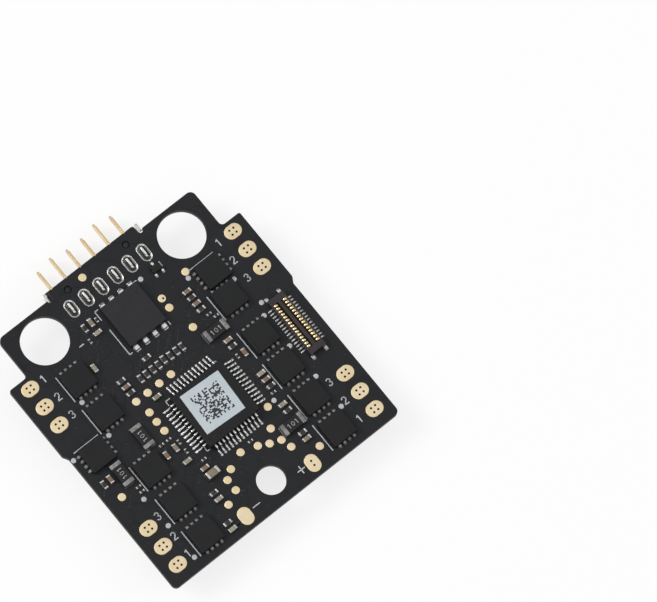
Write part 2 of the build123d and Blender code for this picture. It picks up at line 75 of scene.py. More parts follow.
def triangles_of(mesh):
    """Every triangle of a mesh as a row of three point numbers."""
    mesh.calc_loop_triangles()
    numbers = np.zeros(len(mesh.loop_triangles) * 3, np.int32)
    mesh.loop_triangles.foreach_get("vertices", numbers)
    return numbers.reshape(-1, 3)


def solids_of(node):
    """Low and high corners, in mm, of each separate solid in a node: points that share a place are one, and
    each solid's points all take the lowest number among those that its triangles link."""
    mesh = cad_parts[node].data
    places = places_of(mesh)
    _, first, same = np.unique(np.round(places, 4), axis=0, return_index=True, return_inverse=True)
    triangles = same.ravel()[triangles_of(mesh)]
    group = np.arange(len(first))
    while True:
        lowest = group[triangles].min(1)
        linked = group.copy()
        np.minimum.at(linked, triangles, lowest[:, None])
        linked = linked[linked]
        if (linked == group).all():
            break
        group = linked
    _, number = np.unique(group, return_inverse=True)
    places = places[first]
    low = np.full((number.max() + 1, 3), np.inf)
    high = -low
    np.minimum.at(low, number, places)
    np.maximum.at(high, number, places)
    return low, high


def heights(low, high, side):
    """The same boxes with their third number turned into height out of that side's face."""
    near, far = (low[:, 2], high[:, 2]) if side == FRONT else (high[:, 2], low[:, 2])
    low, high = low.copy(), high.copy()
    low[:, 2], high[:, 2] = (near - face_z[side]) * side, (far - face_z[side]) * side
    return low, high


def on_side(low, high, side):
    """The boxes whose middle lies outside that side's face, as heights out of it."""
    middle = (low[:, 2] + high[:, 2]) / 2
    out = (middle - face_z[side]) * side > 0
    return heights(low[out], high[out], side)


# ---------------------------------------------------------------- laying meshes
def in_scene(name, data):
    """Mesh, light or camera data as an object in the scene."""
    made = bpy.data.objects.new(name, data)
    bpy.context.scene.collection.objects.link(made)
    return made


def shade(piece):
    """Smooth shading whose normals follow the larger faces, so that flat sides stay flat."""
    piece.data.shade_smooth()
    piece.modifiers.new("flat_sides_stay_flat", "WEIGHTED_NORMAL").mode = "FACE_AREA"


def stacked(points, faces):
    """One patch of n copies of a shape: points is (n, m, 3), and each copy's faces are moved on by m."""
    count, size = points.shape[:2]
    step = np.arange(count)[:, None, None] * size
    return points.reshape(-1, 3), [(f[None] + step).reshape(-1, f.shape[1]) for f in faces]


def joined(patches):
    """Several patches as one: each patch's faces are moved on by the points before it."""
    start, points, faces = 0, [], []
    for spots, sheets in patches:
        points.append(spots)
        faces += [sheet + start for sheet in sheets]
        start += len(spots)
    return np.concatenate(points), faces


def set_mark(mesh, mark, values):
    """A number for each point of a mesh, under a name that materials can read."""
    mesh.attributes.new(mark, "FLOAT", "POINT").data.foreach_set("value", np.asarray(values, np.float32))


def lay(name, patches, material, side=FRONT, stands_for=(), marks=None, flat=False):
    """A piece from patches of one side: h is added to that face's z or taken from it, and the far side's
    faces are turned over. marks is {attribute name: one value per point}."""
    points, faces = joined(patches)
    points = points.copy()
    points[:, 2] = face_z[side] + side * points[:, 2]
    lists = [face[::side].tolist() for sheet in faces for face in sheet]
    mesh = bpy.data.meshes.new(name)
    mesh.from_pydata((points * MM).tolist(), [], lists)
    for mark, values in (marks or {}).items():
        set_mark(mesh, mark, values)
    mesh.update()
    mesh.materials.append(material)
    piece = in_scene(name, mesh)
    if not flat:
        shade(piece)
    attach(piece, "root")
    if stands_for:
        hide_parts(*stands_for)


def softened(node, width, material, name):
    """A CAD node's own shape with its sharp edges rounded by a small bevel."""
    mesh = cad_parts[node].data.copy()
    mesh.name = name
    mesh.materials.clear()
    mesh.materials.append(material)
    piece = in_scene(name, mesh)
    piece.modifiers.new("one_skin", "WELD").merge_threshold = WELD_GAP
    merge = piece.modifiers.new("whole_faces", "DECIMATE")
    merge.decimate_type = "DISSOLVE"
    merge.angle_limit = LEVEL
    bevel = piece.modifiers.new("soft_edges", "BEVEL")
    bevel.width = width * MM
    bevel.segments = 2
    bevel.limit_method = "ANGLE"
    bevel.angle_limit = SHARP
    shade(piece)
    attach(piece, "root")
    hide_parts(node)
    return piece


# ---------------------------------------------------------------- surfaces
def skin(lines):
    """Grid places and outward quads of a box's skin, whose edges carry that many lines along x, y and z."""
    lines = np.array(lines)
    grid = np.indices(lines).reshape(3, -1).T
    outer = ((grid == 0) | (grid == lines - 1)).any(1)
    number = np.full(len(grid), -1)
    number[outer] = np.arange(outer.sum())
    number = number.reshape(lines)
    quads = []
    for axis in range(3):
        second, third = (axis + 1) % 3, (axis + 2) % 3
        for end in (0, lines[axis] - 1):
            sheet = np.take(number, end, axis=axis)
            sheet = sheet.T if second > third else sheet
            quad = np.stack([sheet[:-1, :-1], sheet[1:, :-1], sheet[1:, 1:], sheet[:-1, 1:]], -1)
            quad = quad.reshape(-1, 4)
            quads.append(quad[:, ::-1] if end == 0 else quad)
    return grid[outer], np.concatenate(quads)


def rounded_blocks(low, high, radius, steps=1):
    """Blocks with every edge rounded: a point is a corner of the core, which is the block less the radius
    all round, plus the radius along the unit direction of the same point of a cube."""
    ramp = np.tan(np.linspace(0, math.pi / 4, steps + 1))
    sign = np.repeat([-1.0, 1.0], steps + 1)
    lean = np.concatenate([-ramp[::-1], ramp])
    spots, quads = skin([2 * steps + 2] * 3)
    out = lean[spots] / np.linalg.norm(lean[spots], axis=1, keepdims=True)
    middle, half = (low + high) / 2, (high - low) / 2
    points = middle[:, None] + sign[spots] * (half - radius)[:, None] + radius * out
    return stacked(points, [quads])


def eased(run):
    """A smooth step from 0 to 1 as the run goes from 0 to 1: three times its square less twice its cube."""
    run = np.clip(run, 0, 1)
    return run * run * (3 - 2 * run)


def moulding(low, high, radius, dimples=(), draft=0.0):
    """A moulded package: each line of a box's grid is clipped to the core, then pushed out by the radius.
    Round dimples, (x, y, size, depth), sink the top by a smooth step of their distance, and the draft
    narrows both halves away from mid height."""
    steps = 2  # lines from a side to the middle of its rounded edge
    ramp = radius * np.tan(np.linspace(0, math.pi / 4, steps + 1))
    middle, half = (low + high) / 2, (high - low) / 2
    core = half - radius
    # Grid lines across a dimple, as shares of its size, close together on its slope.
    across = np.array([-1.15, -1, -0.88, -0.76, -0.5, -0.2, 0.2, 0.5, 0.76, 0.88, 1, 1.15])
    lines = []
    for axis in range(3):
        inner = [across * size + spot[axis] for *spot, size, _ in dimples] if axis < 2 else []
        rim = [-core[axis] - ramp[::-1], core[axis] + ramp]
        lines.append(np.unique(np.concatenate(rim + inner)))
    spots, quads = skin([len(line) for line in lines])
    cube = np.stack([lines[axis][spots[:, axis]] for axis in range(3)], 1)
    inside = np.clip(cube, -core, core)
    out = cube - inside
    points = inside + radius * out / np.linalg.norm(out, axis=1, keepdims=True)
    top = cube[:, 2] > core[2] + radius * 0.99
    for x, y, size, depth in dimples:
        away = np.hypot(points[:, 0] - x, points[:, 1] - y) / size
        points[:, 2] -= np.where(top, depth * eased((1 - away) / 0.25), 0)
    points[:, :2] *= (1 - draft * np.abs(points[:, 2] / half[2]))[:, None]
    return points + middle, [quads]


def plates(centres, straight, radius, turns, rings, rise, around):
    """Stadium plates: ring i is the half circle of radius times rings[i] about each end of the spine, at
    height rise[i]. The first ring is the rim on the face, and the first and last are closed. A disc has no
    straight part."""
    centres = np.asarray(centres, float).reshape(-1, 2)
    count = len(centres)
    given = (straight, radius, turns)
    straight, radius, turns = (np.broadcast_to(v, count).astype(float) for v in given)
    angle = (np.arange(around) + 0.5) * 2 * math.pi / around
    side = np.sign(np.cos(angle))
    ring = radius[:, None, None] * np.asarray(rings)[:, None]
    x = straight[:, None, None] / 2 * side + ring * np.cos(angle)
    y = ring * np.sin(angle)
    cos, sin = np.cos(turns)[:, None, None], np.sin(turns)[:, None, None]
    h = np.asarray(rise, float)[:, None]
    points = np.stack([
        centres[:, 0, None, None] + cos * x - sin * y,
        centres[:, 1, None, None] + sin * x + cos * y,
        np.broadcast_to(h, x.shape),
    ], -1).reshape(count, -1, 3)
    number = np.arange(len(rings) * around).reshape(len(rings), around)
    ahead = np.roll(number, -1, axis=1)
    quads = np.stack([number[:-1], ahead[:-1], ahead[1:], number[1:]], -1).reshape(-1, 4)
    return stacked(points, [quads, number[-1][None], number[0][::-1][None]])


def ring_marks(values, count, around):
    """The same mark value for every point of a ring, ring by ring, for that many plates."""
    return np.tile(np.repeat(np.asarray(values, float), around), count)


def strips(starts, outward, path, width, thickness):
    """Bent metal strips: an eight-point section with broken corners is carried along the path, (distance
    out, height of the strip's middle) for each station, square to the path's own slope."""
    run, height = (np.asarray(v, float) for v in path)
    slope = np.stack([np.gradient(run), np.gradient(height)], 1)
    slope /= np.linalg.norm(slope, axis=1, keepdims=True)
    corner = 0.2 * thickness  # how much of each corner is broken off
    half, deep = width / 2, thickness / 2
    wide = np.array([half, half, half - corner, corner - half, -half, -half, corner - half, half - corner])
    tall = np.array([corner - deep, deep - corner, deep, deep, deep - corner, corner - deep, -deep, -deep])
    out = run[:, None] - slope[:, 1:] * tall
    up = height[:, None] + slope[:, :1] * tall
    starts, outward = np.asarray(starts, float), np.asarray(outward, float)
    across = np.stack([-outward[:, 1], outward[:, 0]], 1)
    plan = (
        starts[:, None, None, :2]
        + out[None, :, :, None] * outward[:, None, None]
        + wide[None, None, :, None] * across[:, None, None]
    )
    lift = np.broadcast_to(up[None, :, :, None], (*plan.shape[:3], 1))
    points = np.concatenate([plan, lift], -1).reshape(len(starts), -1, 3)
    number = np.arange(len(run) * 8).reshape(-1, 8)
    ahead = np.roll(number, -1, axis=1)
    quads = np.stack([number[:-1], number[1:], ahead[1:], ahead[:-1]], -1).reshape(-1, 4)
    return stacked(points, [quads, number[0][None], number[-1][::-1][None]])


def solder_heels(spots, outward, width, rise, reach, across=5, down=5):
    """Concave solder wedges: from the wall at its full rise to the board at its full reach along a quarter
    ellipse that is tangent to both, drawn in at the two sides by the fourth power of the distance
    across."""
    count = len(spots)
    given = (width, rise, reach)
    width, rise, reach = (np.broadcast_to(v, count).astype(float)[:, None, None] for v in given)
    spots = np.asarray(spots, float)[:, :2]
    turn = np.linspace(0, math.pi / 2, down)[:, None]
    over = np.linspace(-1, 1, across)[None]
    out = reach * (1 - np.sin(turn)) * (1 - 0.4 * over**4)
    h = rise * (1 - np.cos(turn)) * (1 - 0.2 * over**2)
    side = width / 2 * over * (1 + 0.12 * np.cos(turn))
    outward = np.asarray(outward, float)
    across_way = np.stack([-outward[:, 1], outward[:, 0]], 1)
    plan = (
        spots[:, None, None]
        + out[..., None] * outward[:, None, None]
        + side[..., None] * across_way[:, None, None]
    )
    sheet = np.concatenate([plan, h[..., None]], -1).reshape(count, -1, 3)
    feet = np.stack([
        np.concatenate([spots + across_way * width[:, 0] / 2 * end, np.zeros((count, 1))], 1)
        for end in (-1, 1)
    ], 1)
    points = np.concatenate([sheet, feet], 1)
    number = np.arange(across * down).reshape(down, across)
    quads = np.stack([number[:-1, 1:], number[1:, 1:], number[1:, :-1], number[:-1, :-1]], -1).reshape(-1, 4)
    left, right = across * down, across * down + 1
    ends = np.array([[*number[:, 0], left], [*number[::-1, -1], right]])
    floor = np.array([[*number[0, ::-1], left, right]])
    wall = np.array([[*number[-1], right, left]])
    return stacked(points, [quads[:, ::-1], ends[:, ::-1], floor[:, ::-1], wall[:, ::-1]])


def strokes(lines, pen, thickness=0.02):
    """Ink strokes: each straight line between two points is a low stadium plate of the pen's width."""
    lines = np.asarray(lines, float).reshape(-1, 2, 2) + (0, joint_row)
    way = lines[:, 1] - lines[:, 0]
    rings, rise = (1, 0.94, 0.5), (-INK_SUNK, thickness * 0.96, thickness)
    turns = np.arctan2(way[:, 1], way[:, 0])
    return plates(lines.mean(1), np.hypot(*way.T), pen / 2, turns, rings, rise, around=12)


def dots(places, radius):
    """Round ink dots, a little crowned."""
    thickness = 0.022
    places = np.asarray(places, float).reshape(-1, 2) + (0, joint_row)
    rise = (-INK_SUNK, thickness * 0.8, thickness)
    return plates(places, 0, radius, 0, (1, 0.93, 0.4), rise, around=20)


# ---------------------------------------------------------------- shader tools
def fill(tree, node, sockets):
    """Sets a node's sockets, or links them where another node's socket is given."""
    for key, value in sockets.items():
        if isinstance(value, bpy.types.NodeSocket):
            tree.links.new(value, node.inputs[key])
        else:
            node.inputs[key].default_value = value
    return node


def put(tree, kind, sockets=None, **settings):
    """A shader node with its settings and its sockets filled."""
    node = tree.nodes.new("ShaderNode" + kind)
    for key, value in settings.items():
        setattr(node, key, value)
    return fill(tree, node, sockets or {})


def reckon(tree, operation, *values, **settings):
    """One to three numbers put through a Math node."""
    return put(tree, "Math", dict(enumerate(values)), operation=operation, **settings).outputs[0]


def spread(tree, value, low=0.0, high=1.0, to_low=0.0, to_high=1.0):
    """A number carried from one range to another and held at its ends."""
    ends = {"From Min": low, "From Max": high, "To Min": to_low, "To Max": to_high}
    return put(tree, "MapRange", {"Value": value, **ends}).outputs[0]


def mixed(tree, share, first, second):
    """Two numbers mixed by a share."""
    return put(tree, "Mix", {0: share, 2: first, 3: second}).outputs[0]


def blend(tree, share, first, second):
    """Two colours mixed by a share."""
    return put(tree, "Mix", {0: share, 6: first, 7: second}, data_type="RGBA").outputs[2]


def lit(tree, tone, amount):
    """A colour made lighter or darker by a factor."""
    return put(tree, "VectorMath", {0: tone, "Scale": amount}, operation="SCALE").outputs[0]


def mark_of(tree, mark):
    """A piece's own mark, a number at each of its points."""
    return put(tree, "Attribute", attribute_name=mark).outputs["Fac"]


def millimetres(tree):
    """Object coordinates counted in millimetres."""
    place = put(tree, "TexCoord").outputs["Object"]
    return put(tree, "VectorMath", {0: place, 1: (1000, 1000, 1000)}, operation="MULTIPLY").outputs[0]


def upward(tree):
    """How squarely the surface faces straight up or down, from 0 to 1."""
    normal = put(tree, "NewGeometry").outputs["True Normal"]
    return reckon(tree, "ABSOLUTE", put(tree, "SeparateXYZ", {0: normal}).outputs["Z"])


# ---------------------------------------------------------------- shared effects
NUMBER, COLOUR = "NodeSocketFloat", "NodeSocketColor"


def shared_effect(name, inputs, output, kind):
    """An empty shader node group with named sockets: its tree, what it is given and its result's socket."""
    tree = bpy.data.node_groups.new(name, "ShaderNodeTree")
    for socket, given, value in inputs:
        tree.interface.new_socket(socket, in_out="INPUT", socket_type=given).default_value = value
    tree.interface.new_socket(output, in_out="OUTPUT", socket_type=kind)
    return tree, tree.nodes.new("NodeGroupInput").outputs, tree.nodes.new("NodeGroupOutput").inputs[output]


def make_grain():
    """Fine grain: noise of that many grains per mm, with a coarser noise a fifth as fine mixed in, as a
    mask."""
    inputs = [("Grains per mm", NUMBER, 20.0), ("Contrast", NUMBER, 1.0)]
    tree, given, result = shared_effect("surface grain", inputs, "Mask", NUMBER)
    place, grains = millimetres(tree), given["Grains per mm"]
    fifth = reckon(tree, "MULTIPLY", grains, 0.2)
    fine = put(tree, "TexNoise", {"Vector": place, "Scale": grains, "Detail": 3.0}).outputs[0]
    coarse = put(tree, "TexNoise", {"Vector": place, "Scale": fifth, "Detail": 2.0}).outputs[0]
    centred = reckon(tree, "SUBTRACT", mixed(tree, 0.4, fine, coarse), 0.5)
    tree.links.new(reckon(tree, "MULTIPLY_ADD", centred, given["Contrast"], 0.5, use_clamp=True), result)
    return tree


def make_drift():
    """Tone drift: two colours mixed by large soft patches, and a little by the grain."""
    inputs = [
        ("First", COLOUR, (1, 1, 1, 1)), ("Second", COLOUR, (0, 0, 0, 1)),
        ("Patches per mm", NUMBER, 0.5), ("Grain", NUMBER, 0.5), ("Grain share", NUMBER, 0.3),
    ]
    tree, given, result = shared_effect("tone drift", inputs, "Color", COLOUR)
    scale = given["Patches per mm"]
    patch = put(tree, "TexNoise", {"Vector": millimetres(tree), "Scale": scale, "Detail": 2.0}).outputs[0]
    share = mixed(tree, given["Grain share"], spread(tree, patch, 0.3, 0.7), given["Grain"])
    tree.links.new(blend(tree, share, given["First"], given["Second"]), result)
    return tree


def make_painted_edge_highlight():
    """Painted edge highlight: the piece's own edge mark times grain, so that corners lighten in broken
    patches.
    """
    inputs = [("Grain", NUMBER, 0.5), ("Amount", NUMBER, 0.5)]
    tree, given, result = shared_effect("painted edge highlight", inputs, "Mask", NUMBER)
    edge_highlight = reckon(tree, "MULTIPLY", mark_of(tree, "edge"), spread(tree, given["Grain"], 0.35, 0.7))
    tree.links.new(reckon(tree, "MULTIPLY", edge_highlight, given["Amount"], use_clamp=True), result)
    return tree


GRAIN, DRIFT, EDGE_HIGHLIGHT = make_grain(), make_drift(), make_painted_edge_highlight()


def group(tree, effect, sockets):
    """One of the shared effects placed in a material: its result."""
    node = tree.nodes.new("ShaderNodeGroup")
    node.node_tree = effect
    return fill(tree, node, sockets).outputs[0]


# ---------------------------------------------------------------- finishes
def rgba(colour):
    """A colour with its full cover."""
    return (*colour, 1.0)


def blank(name):
    """A material with only a Principled shader and its output."""
    material = bpy.data.materials.new(name)
    material.use_nodes = True
    tree = material.node_tree
    tree.nodes.clear()
    shader = put(tree, "BsdfPrincipled")
    put(tree, "OutputMaterial", {"Surface": shader.outputs[0]})
    return material, tree, shader


def clothe(tree, shader, tone, rough, height, relief):
    """Gives the shader its tone, its roughness and a bump that is relief mm deep."""
    bump = put(tree, "Bump", {"Height": height, "Strength": 1.0, "Distance": relief * MM}).outputs[0]
    fill(tree, shader, {"Base Color": tone, "Roughness": rough, "Normal": bump})


def finish(name, first, second, rough, grains=20.0, relief=0.002, patches=0.6, share=0.35, metal=0.0,
           shine=0.5, edge_highlight=0.0, highlight_tone=(0.2, 0.2, 0.2)):
    """A general finish: drifting tone, roughness that follows the grain between two values, and grain
    relief in mm."""
    material, tree, shader = blank(name)
    grain = group(tree, GRAIN, {"Grains per mm": grains, "Contrast": 1.6})
    tone = group(tree, DRIFT, {
        "First": rgba(first), "Second": rgba(second), "Patches per mm": patches, "Grain": grain,
        "Grain share": share,
    })
    # A painted edge highlight: rounded edges turn to a lighter tone in broken patches.
    if edge_highlight:
        tone = blend(tree, group(tree, EDGE_HIGHLIGHT, {"Grain": grain, "Amount": edge_highlight}), tone, rgba(highlight_tone))
    clothe(tree, shader, tone, spread(tree, grain, to_low=rough[0], to_high=rough[1]), grain, relief)
    fill(tree, shader, {"Metallic": metal, "Specular IOR Level": shine})
    return material


def painted_over(material, mask, colour):
    """The base colour of a finish turns to another one where the mask says."""
    tree = material.node_tree
    base = next(n for n in tree.nodes if n.type == "BSDF_PRINCIPLED").inputs["Base Color"]
    tree.links.new(blend(tree, mask, base.links[0].from_socket, rgba(colour)), base)
    return material


def two_tone(material, mark, colour, low=0.4, high=0.6):
    """Where the piece's own mark passes from low to high, the base colour turns to another one."""
    tree = material.node_tree
    return painted_over(material, spread(tree, mark_of(tree, mark), low, high), colour)


def ceramic(name, tones, rough):
    """Chip ceramic: each chip's own batch mark picks its tone, with a fine sintered grain over it."""
    material, tree, shader = blank(name)
    ramp = put(tree, "ValToRGB", {"Fac": mark_of(tree, "batch")})
    steps = ramp.color_ramp
    steps.interpolation = "CONSTANT"
    while len(steps.elements) < len(tones):
        steps.elements.new(0.5)
    for number, (element, tone) in enumerate(zip(steps.elements, tones)):
        element.position = number / len(tones)
        element.color = rgba(tone)
    grain = group(tree, GRAIN, {"Grains per mm": 30.0, "Contrast": 1.8})
    tone = lit(tree, ramp.outputs[0], spread(tree, grain, to_low=0.75, to_high=1.2))
    clothe(tree, shader, tone, spread(tree, grain, to_low=rough[0], to_high=rough[1]), grain, 0.003)
    return material


def resistor_film():
    """Thick-film resistor: black overcoat on the flat top and white alumina on the cut sides."""
    material = finish("resistor film", (0.012, 0.012, 0.014), (0.022, 0.022, 0.025), (0.25, 0.42), grains=25)
    tree = material.node_tree
    return painted_over(material, spread(tree, upward(tree), 0.75, 0.6), (0.42, 0.41, 0.38))


def solder_mask():
    """Black solder mask over copper: pours are cells of a square-metric Voronoi pattern with narrow gaps
    where the nearest and second nearest cells draw level, which show as faint tone and relief. Routed edges
    show glass laminate in thin layers along z."""
    material, tree, shader = blank("solder mask")
    place = millimetres(tree)
    cells = {"Vector": place, "Scale": 0.3, "Randomness": 0.9}
    square = {"voronoi_dimensions": "2D", "distance": "CHEBYCHEV"}
    nearest, second = (put(tree, "TexVoronoi", cells, feature=rank, **square).outputs["Distance"]
                       for rank in ("F1", "F2"))
    pour = spread(tree, reckon(tree, "SUBTRACT", second, nearest), 0.02, 0.06)
    grain = group(tree, GRAIN, {"Grains per mm": 9.0, "Contrast": 1.4})
    tone = group(tree, DRIFT, {
        "First": (0.0095, 0.0102, 0.0122, 1), "Second": (0.0138, 0.0144, 0.0166, 1),
        "Patches per mm": 0.25, "Grain": grain, "Grain share": 0.4,
    })
    tone = lit(tree, tone, spread(tree, pour, to_low=0.86, to_high=1.12))
    # The laminate's layers, 38 radians of a sine to each mm of thickness.
    depth = put(tree, "SeparateXYZ", {0: place}).outputs["Z"]
    layers = reckon(tree, "SINE", reckon(tree, "MULTIPLY", depth, 38.0))
    weave = reckon(tree, "MULTIPLY", grain, spread(tree, layers, -1.0, 1.0, 0.6, 1.5))
    laminate = blend(tree, weave, (0.02, 0.019, 0.018, 1), (0.075, 0.07, 0.06, 1))
    cut = spread(tree, upward(tree), 0.7, 0.5)
    rough = mixed(tree, cut, spread(tree, grain, to_low=0.36, to_high=0.5), 0.75)
    height = reckon(tree, "MULTIPLY_ADD", grain, 0.25, pour)
    clothe(tree, shader, blend(tree, cut, tone, laminate), rough, height, 0.006)
    fill(tree, shader, {"Specular IOR Level": 0.24})
    return material


mask_coat = solder_mask()
# Both moulding compounds carry a painted edge highlight, a lighter tone on their rounded edges.
mould_dark = finish("matt moulding compound", (0.0125, 0.013, 0.014), (0.018, 0.0185, 0.0198), (0.5, 0.68),
                    grains=16, relief=0.004, share=0.6, shine=0.2, edge_highlight=0.5,
                    highlight_tone=(0.05, 0.05, 0.054))
mould_grey = finish("grey moulding compound", (0.0215, 0.0215, 0.0245), (0.0285, 0.0285, 0.032), (0.5, 0.66),
                    grains=13, relief=0.005, share=0.6, shine=0.22, edge_highlight=0.4,
                    highlight_tone=(0.06, 0.06, 0.066))
shunt_coat = finish("shunt overcoat", (0.012, 0.012, 0.013), (0.02, 0.02, 0.021), (0.35, 0.5), grains=14,
                    relief=0.004, shine=0.25)
header_plastic = finish("header moulding", (0.012, 0.0125, 0.017), (0.018, 0.0185, 0.024), (0.35, 0.5),
                        grains=10, relief=0.003, shine=0.3)
connector_plastic = finish("connector moulding", (0.03, 0.024, 0.026), (0.045, 0.036, 0.04), (0.3, 0.42),
                           grains=12, shine=0.3)
pad_gold = finish("pad gold", (0.82, 0.66, 0.41), (0.92, 0.8, 0.56), (0.34, 0.55), grains=14, metal=1.0)
# Painted dark reflection on the sloping rim of each pad.
two_tone(pad_gold, "rim", (0.3, 0.2, 0.11))
blade_gold = finish("blade gold", (0.72, 0.52, 0.26), (0.84, 0.66, 0.38), (0.22, 0.38), grains=10, metal=1.0)
two_tone(blade_gold, "tip", (0.2, 0.2, 0.2), 0.84, 0.9)
two_tone(blade_gold, "tinned", (0.85, 0.85, 0.84))
contact_gold = finish("contact gold", (0.85, 0.64, 0.34), (0.95, 0.78, 0.48), (0.2, 0.32), metal=1.0)
solder_metal = finish("reflowed solder", (0.52, 0.52, 0.51), (0.7, 0.7, 0.69), (0.2, 0.4), grains=8,
                      relief=0.006, metal=1.0)
collar_solder = finish("header solder", (0.66, 0.66, 0.65), (0.82, 0.82, 0.81), (0.16, 0.3), grains=6,
                       relief=0.008, metal=1.0)
# Painted dark reflection in each collar's hollow, mixed with the darker tone of flux residue.
two_tone(collar_solder, "flux_and_dark_reflection", (0.05, 0.054, 0.046), 0.2, 0.9)
tin_metal = finish("tin plating", (0.66, 0.66, 0.65), (0.86, 0.86, 0.85), (0.16, 0.3), grains=18, metal=1.0)
dull_tin = finish("dull tin", (0.13, 0.13, 0.13), (0.42, 0.42, 0.41), (0.4, 0.6), grains=9, relief=0.006,
                  patches=2.5, metal=1.0)
end_metal = finish("chip end plating", (0.42, 0.415, 0.4), (0.74, 0.73, 0.71), (0.26, 0.48), grains=9,
                   relief=0.008, patches=2.0, metal=1.0)
masked_copper = finish("copper under the mask", (0.0155, 0.0162, 0.0188), (0.0215, 0.0222, 0.0252),
                       (0.34, 0.46), grains=9, shine=0.28)
cap_ceramic = ceramic("capacitor ceramic", [
    (0.21, 0.135, 0.09), (0.25, 0.2, 0.14), (0.3, 0.27, 0.2), (0.34, 0.31, 0.23),
], (0.35, 0.55))
pale_ceramic = ceramic("pale ceramic", [(0.42, 0.36, 0.26), (0.5, 0.44, 0.32), (0.36, 0.3, 0.22)], (0.4, 0.6))
film_coat = resistor_film()
bead_grey = finish("ferrite", (0.045, 0.042, 0.055), (0.07, 0.066, 0.08), (0.45, 0.6), grains=22,
                     relief=0.004)
board_ink = finish("board ink", (0.62, 0.63, 0.64), (0.44, 0.45, 0.47), (0.5, 0.7), grains=12, relief=0.003,
                   patches=1.2)
chip_ink = finish("chip ink", (0.5, 0.5, 0.5), (0.32, 0.32, 0.33), (0.5, 0.7), grains=14, patches=2.0)
label_film = finish("label film", (0.52, 0.585, 0.62), (0.58, 0.64, 0.67), (0.42, 0.6), grains=12)
label_print = finish("label print", (0.014, 0.015, 0.018), (0.03, 0.031, 0.036), (0.35, 0.5), grains=16)
sticker_paper = finish("sticker paper", (0.6, 0.6, 0.66), (0.68, 0.68, 0.73), (0.6, 0.8), grains=9,
                       relief=0.004)
sticker_print = finish("sticker print", (0.1, 0.1, 0.115), (0.17, 0.17, 0.19), (0.5, 0.7), grains=12,
                       patches=1.5)
via_plug = finish("plugged via", (0.012, 0.01, 0.008), (0.03, 0.022, 0.014), (0.3, 0.5), grains=12, shine=0.2)


# ---------------------------------------------------------------- board and header
def board_and_header():
    """The board, header housing, hold-downs and connector housing keep their CAD shapes with softened
    edges."""
    softened("bare_board", 0.05, mask_coat, "board_laminate")
    softened("header_housing", 0.06, header_plastic, "header_body")
    softened("header_hold_downs", 0.04, tin_metal, "header_tabs")
    softened("connector_housing", 0.03, connector_plastic, "connector_body")
    for number in range(1, 7):
        blade = softened(f"header_pin_{number}", 0.03, blade_gold, f"header_blade_{number}")
        _, y, z = places_of(blade.data).T
        for mark, where in (("tip", y > y.max() - 0.2), ("tinned", z > front_z)):
            set_mark(blade.data, mark, where)


def header_joints():
    """Solder collars round the blades' stubs: over a stadium's rings the height is a bell at the rim and a
    narrow bell at the spine, where solder climbs the blade. Flux residue and a painted dark reflection darken
    the hollow between them."""
    low, high = solids_of("header_solder_joints")
    size = (high - low)[0]
    ring = np.array([1, 0.985, 0.95, 0.91, 0.87, 0.82, 0.75, 0.66, 0.56, 0.46, 0.36, 0.28, 0.2, 0.1])
    bell = 0.13 * np.exp(-(((ring - 0.83) / 0.14) ** 2)) + 0.22 * np.exp(-((ring / 0.3) ** 2)) + 0.035
    rise = bell * (1 - ring**24) - 0.005
    # The hollow's mark, between rim and spine: flux residue and a painted dark reflection.
    flux_and_dark_reflection = np.clip((0.74 - ring) / 0.14, 0, 1) * np.clip((ring - 0.12) / 0.2, 0, 1)
    centres = np.stack([(low + high)[:, 0] / 2, np.full(len(low), joint_row)], 1)
    around = 36
    made = plates(centres, size[1] - size[0], size[0] / 2, math.pi / 2, ring, rise, around)
    lay("header_solder_collars", [made], collar_solder, FRONT, ["header_solder_joints"],
        {"flux_and_dark_reflection": ring_marks(flux_and_dark_reflection, len(centres), around)})


# ---------------------------------------------------------------- gold pads
def flat_pads():
    """Plated copper pads with a crowned rim: stadiums and discs by each pad's two sides, a true disc for the
    ground pad, and rounded oblongs for the bulk pads."""
    rings, rise = (1, 0.985, 0.95, 0.88, 0.4), 0.045 * np.array([-0.1, 0.5, 0.85, 0.97, 1.0])
    # The rim mark puts a painted dark reflection on the outer, sloping rings.
    rim = (1, 1, 0.55, 0, 0)
    around, disc_around = 32, 48
    for node, name in (
        ("motor_wire_pads", "motor_pads"),
        ("power_wire_pads", "power_pads"),
        ("test_pads", "probe_pads"),
    ):
        low, high = on_side(*solids_of(node), FRONT)
        size = high - low
        long, short = size[:, :2].max(1), size[:, :2].min(1)
        turns = np.where(size[:, 1] > size[:, 0], math.pi / 2, 0)
        made = plates((low + high)[:, :2] / 2, long - short, short / 2, turns, rings, rise, around)
        lay(name, [made], pad_gold, FRONT, [node], {"rim": ring_marks(rim, len(low), around)})
    low, high = on_side(*solids_of("round_ground_pad"), BACK)
    made = plates((low + high)[:, :2] / 2, 0, (high - low)[:, 0] / 2, 0, rings, rise, disc_around)
    lay("ground_pad", [made], pad_gold, BACK, ["round_ground_pad"],
        {"rim": ring_marks(rim, 1, disc_around)})
    low, high = on_side(*solids_of("bulk_capacitor_pads"), BACK)
    lay("bulk_pads", [rounded_blocks(low, high, 0.02, 2)], pad_gold, BACK, ["bulk_capacitor_pads"])


def pad_vias():
    """Dark plugged vias: low discs with a sunk middle, four in each motor pad, two in the positive power
    pad, on the right, and one in a probe pad."""
    half = 0.28
    probe_via = (3.42, -5.2 + joint_row)
    low, high = on_side(*solids_of("motor_wire_pads"), FRONT)
    corners = np.array([(-half, -half), (-half, half), (half, -half), (half, half)])
    spots = ((low + high)[:, None, :2] / 2 + corners).reshape(-1, 2)
    low, high = on_side(*solids_of("power_wire_pads"), FRONT)
    right = ((low + high)[:, :2] / 2)[np.argmax(low[:, 0])]
    spots = np.concatenate([spots, right + [(0, -half), (0, half)], [probe_via]])
    rings, rise = (1, 0.85, 0.6, 0.3), (0.03, 0.054, 0.052, 0.05)
    lay("pad_via_plugs", [plates(spots, 0, 0.145, 0, rings, rise, around=14)], via_plug)


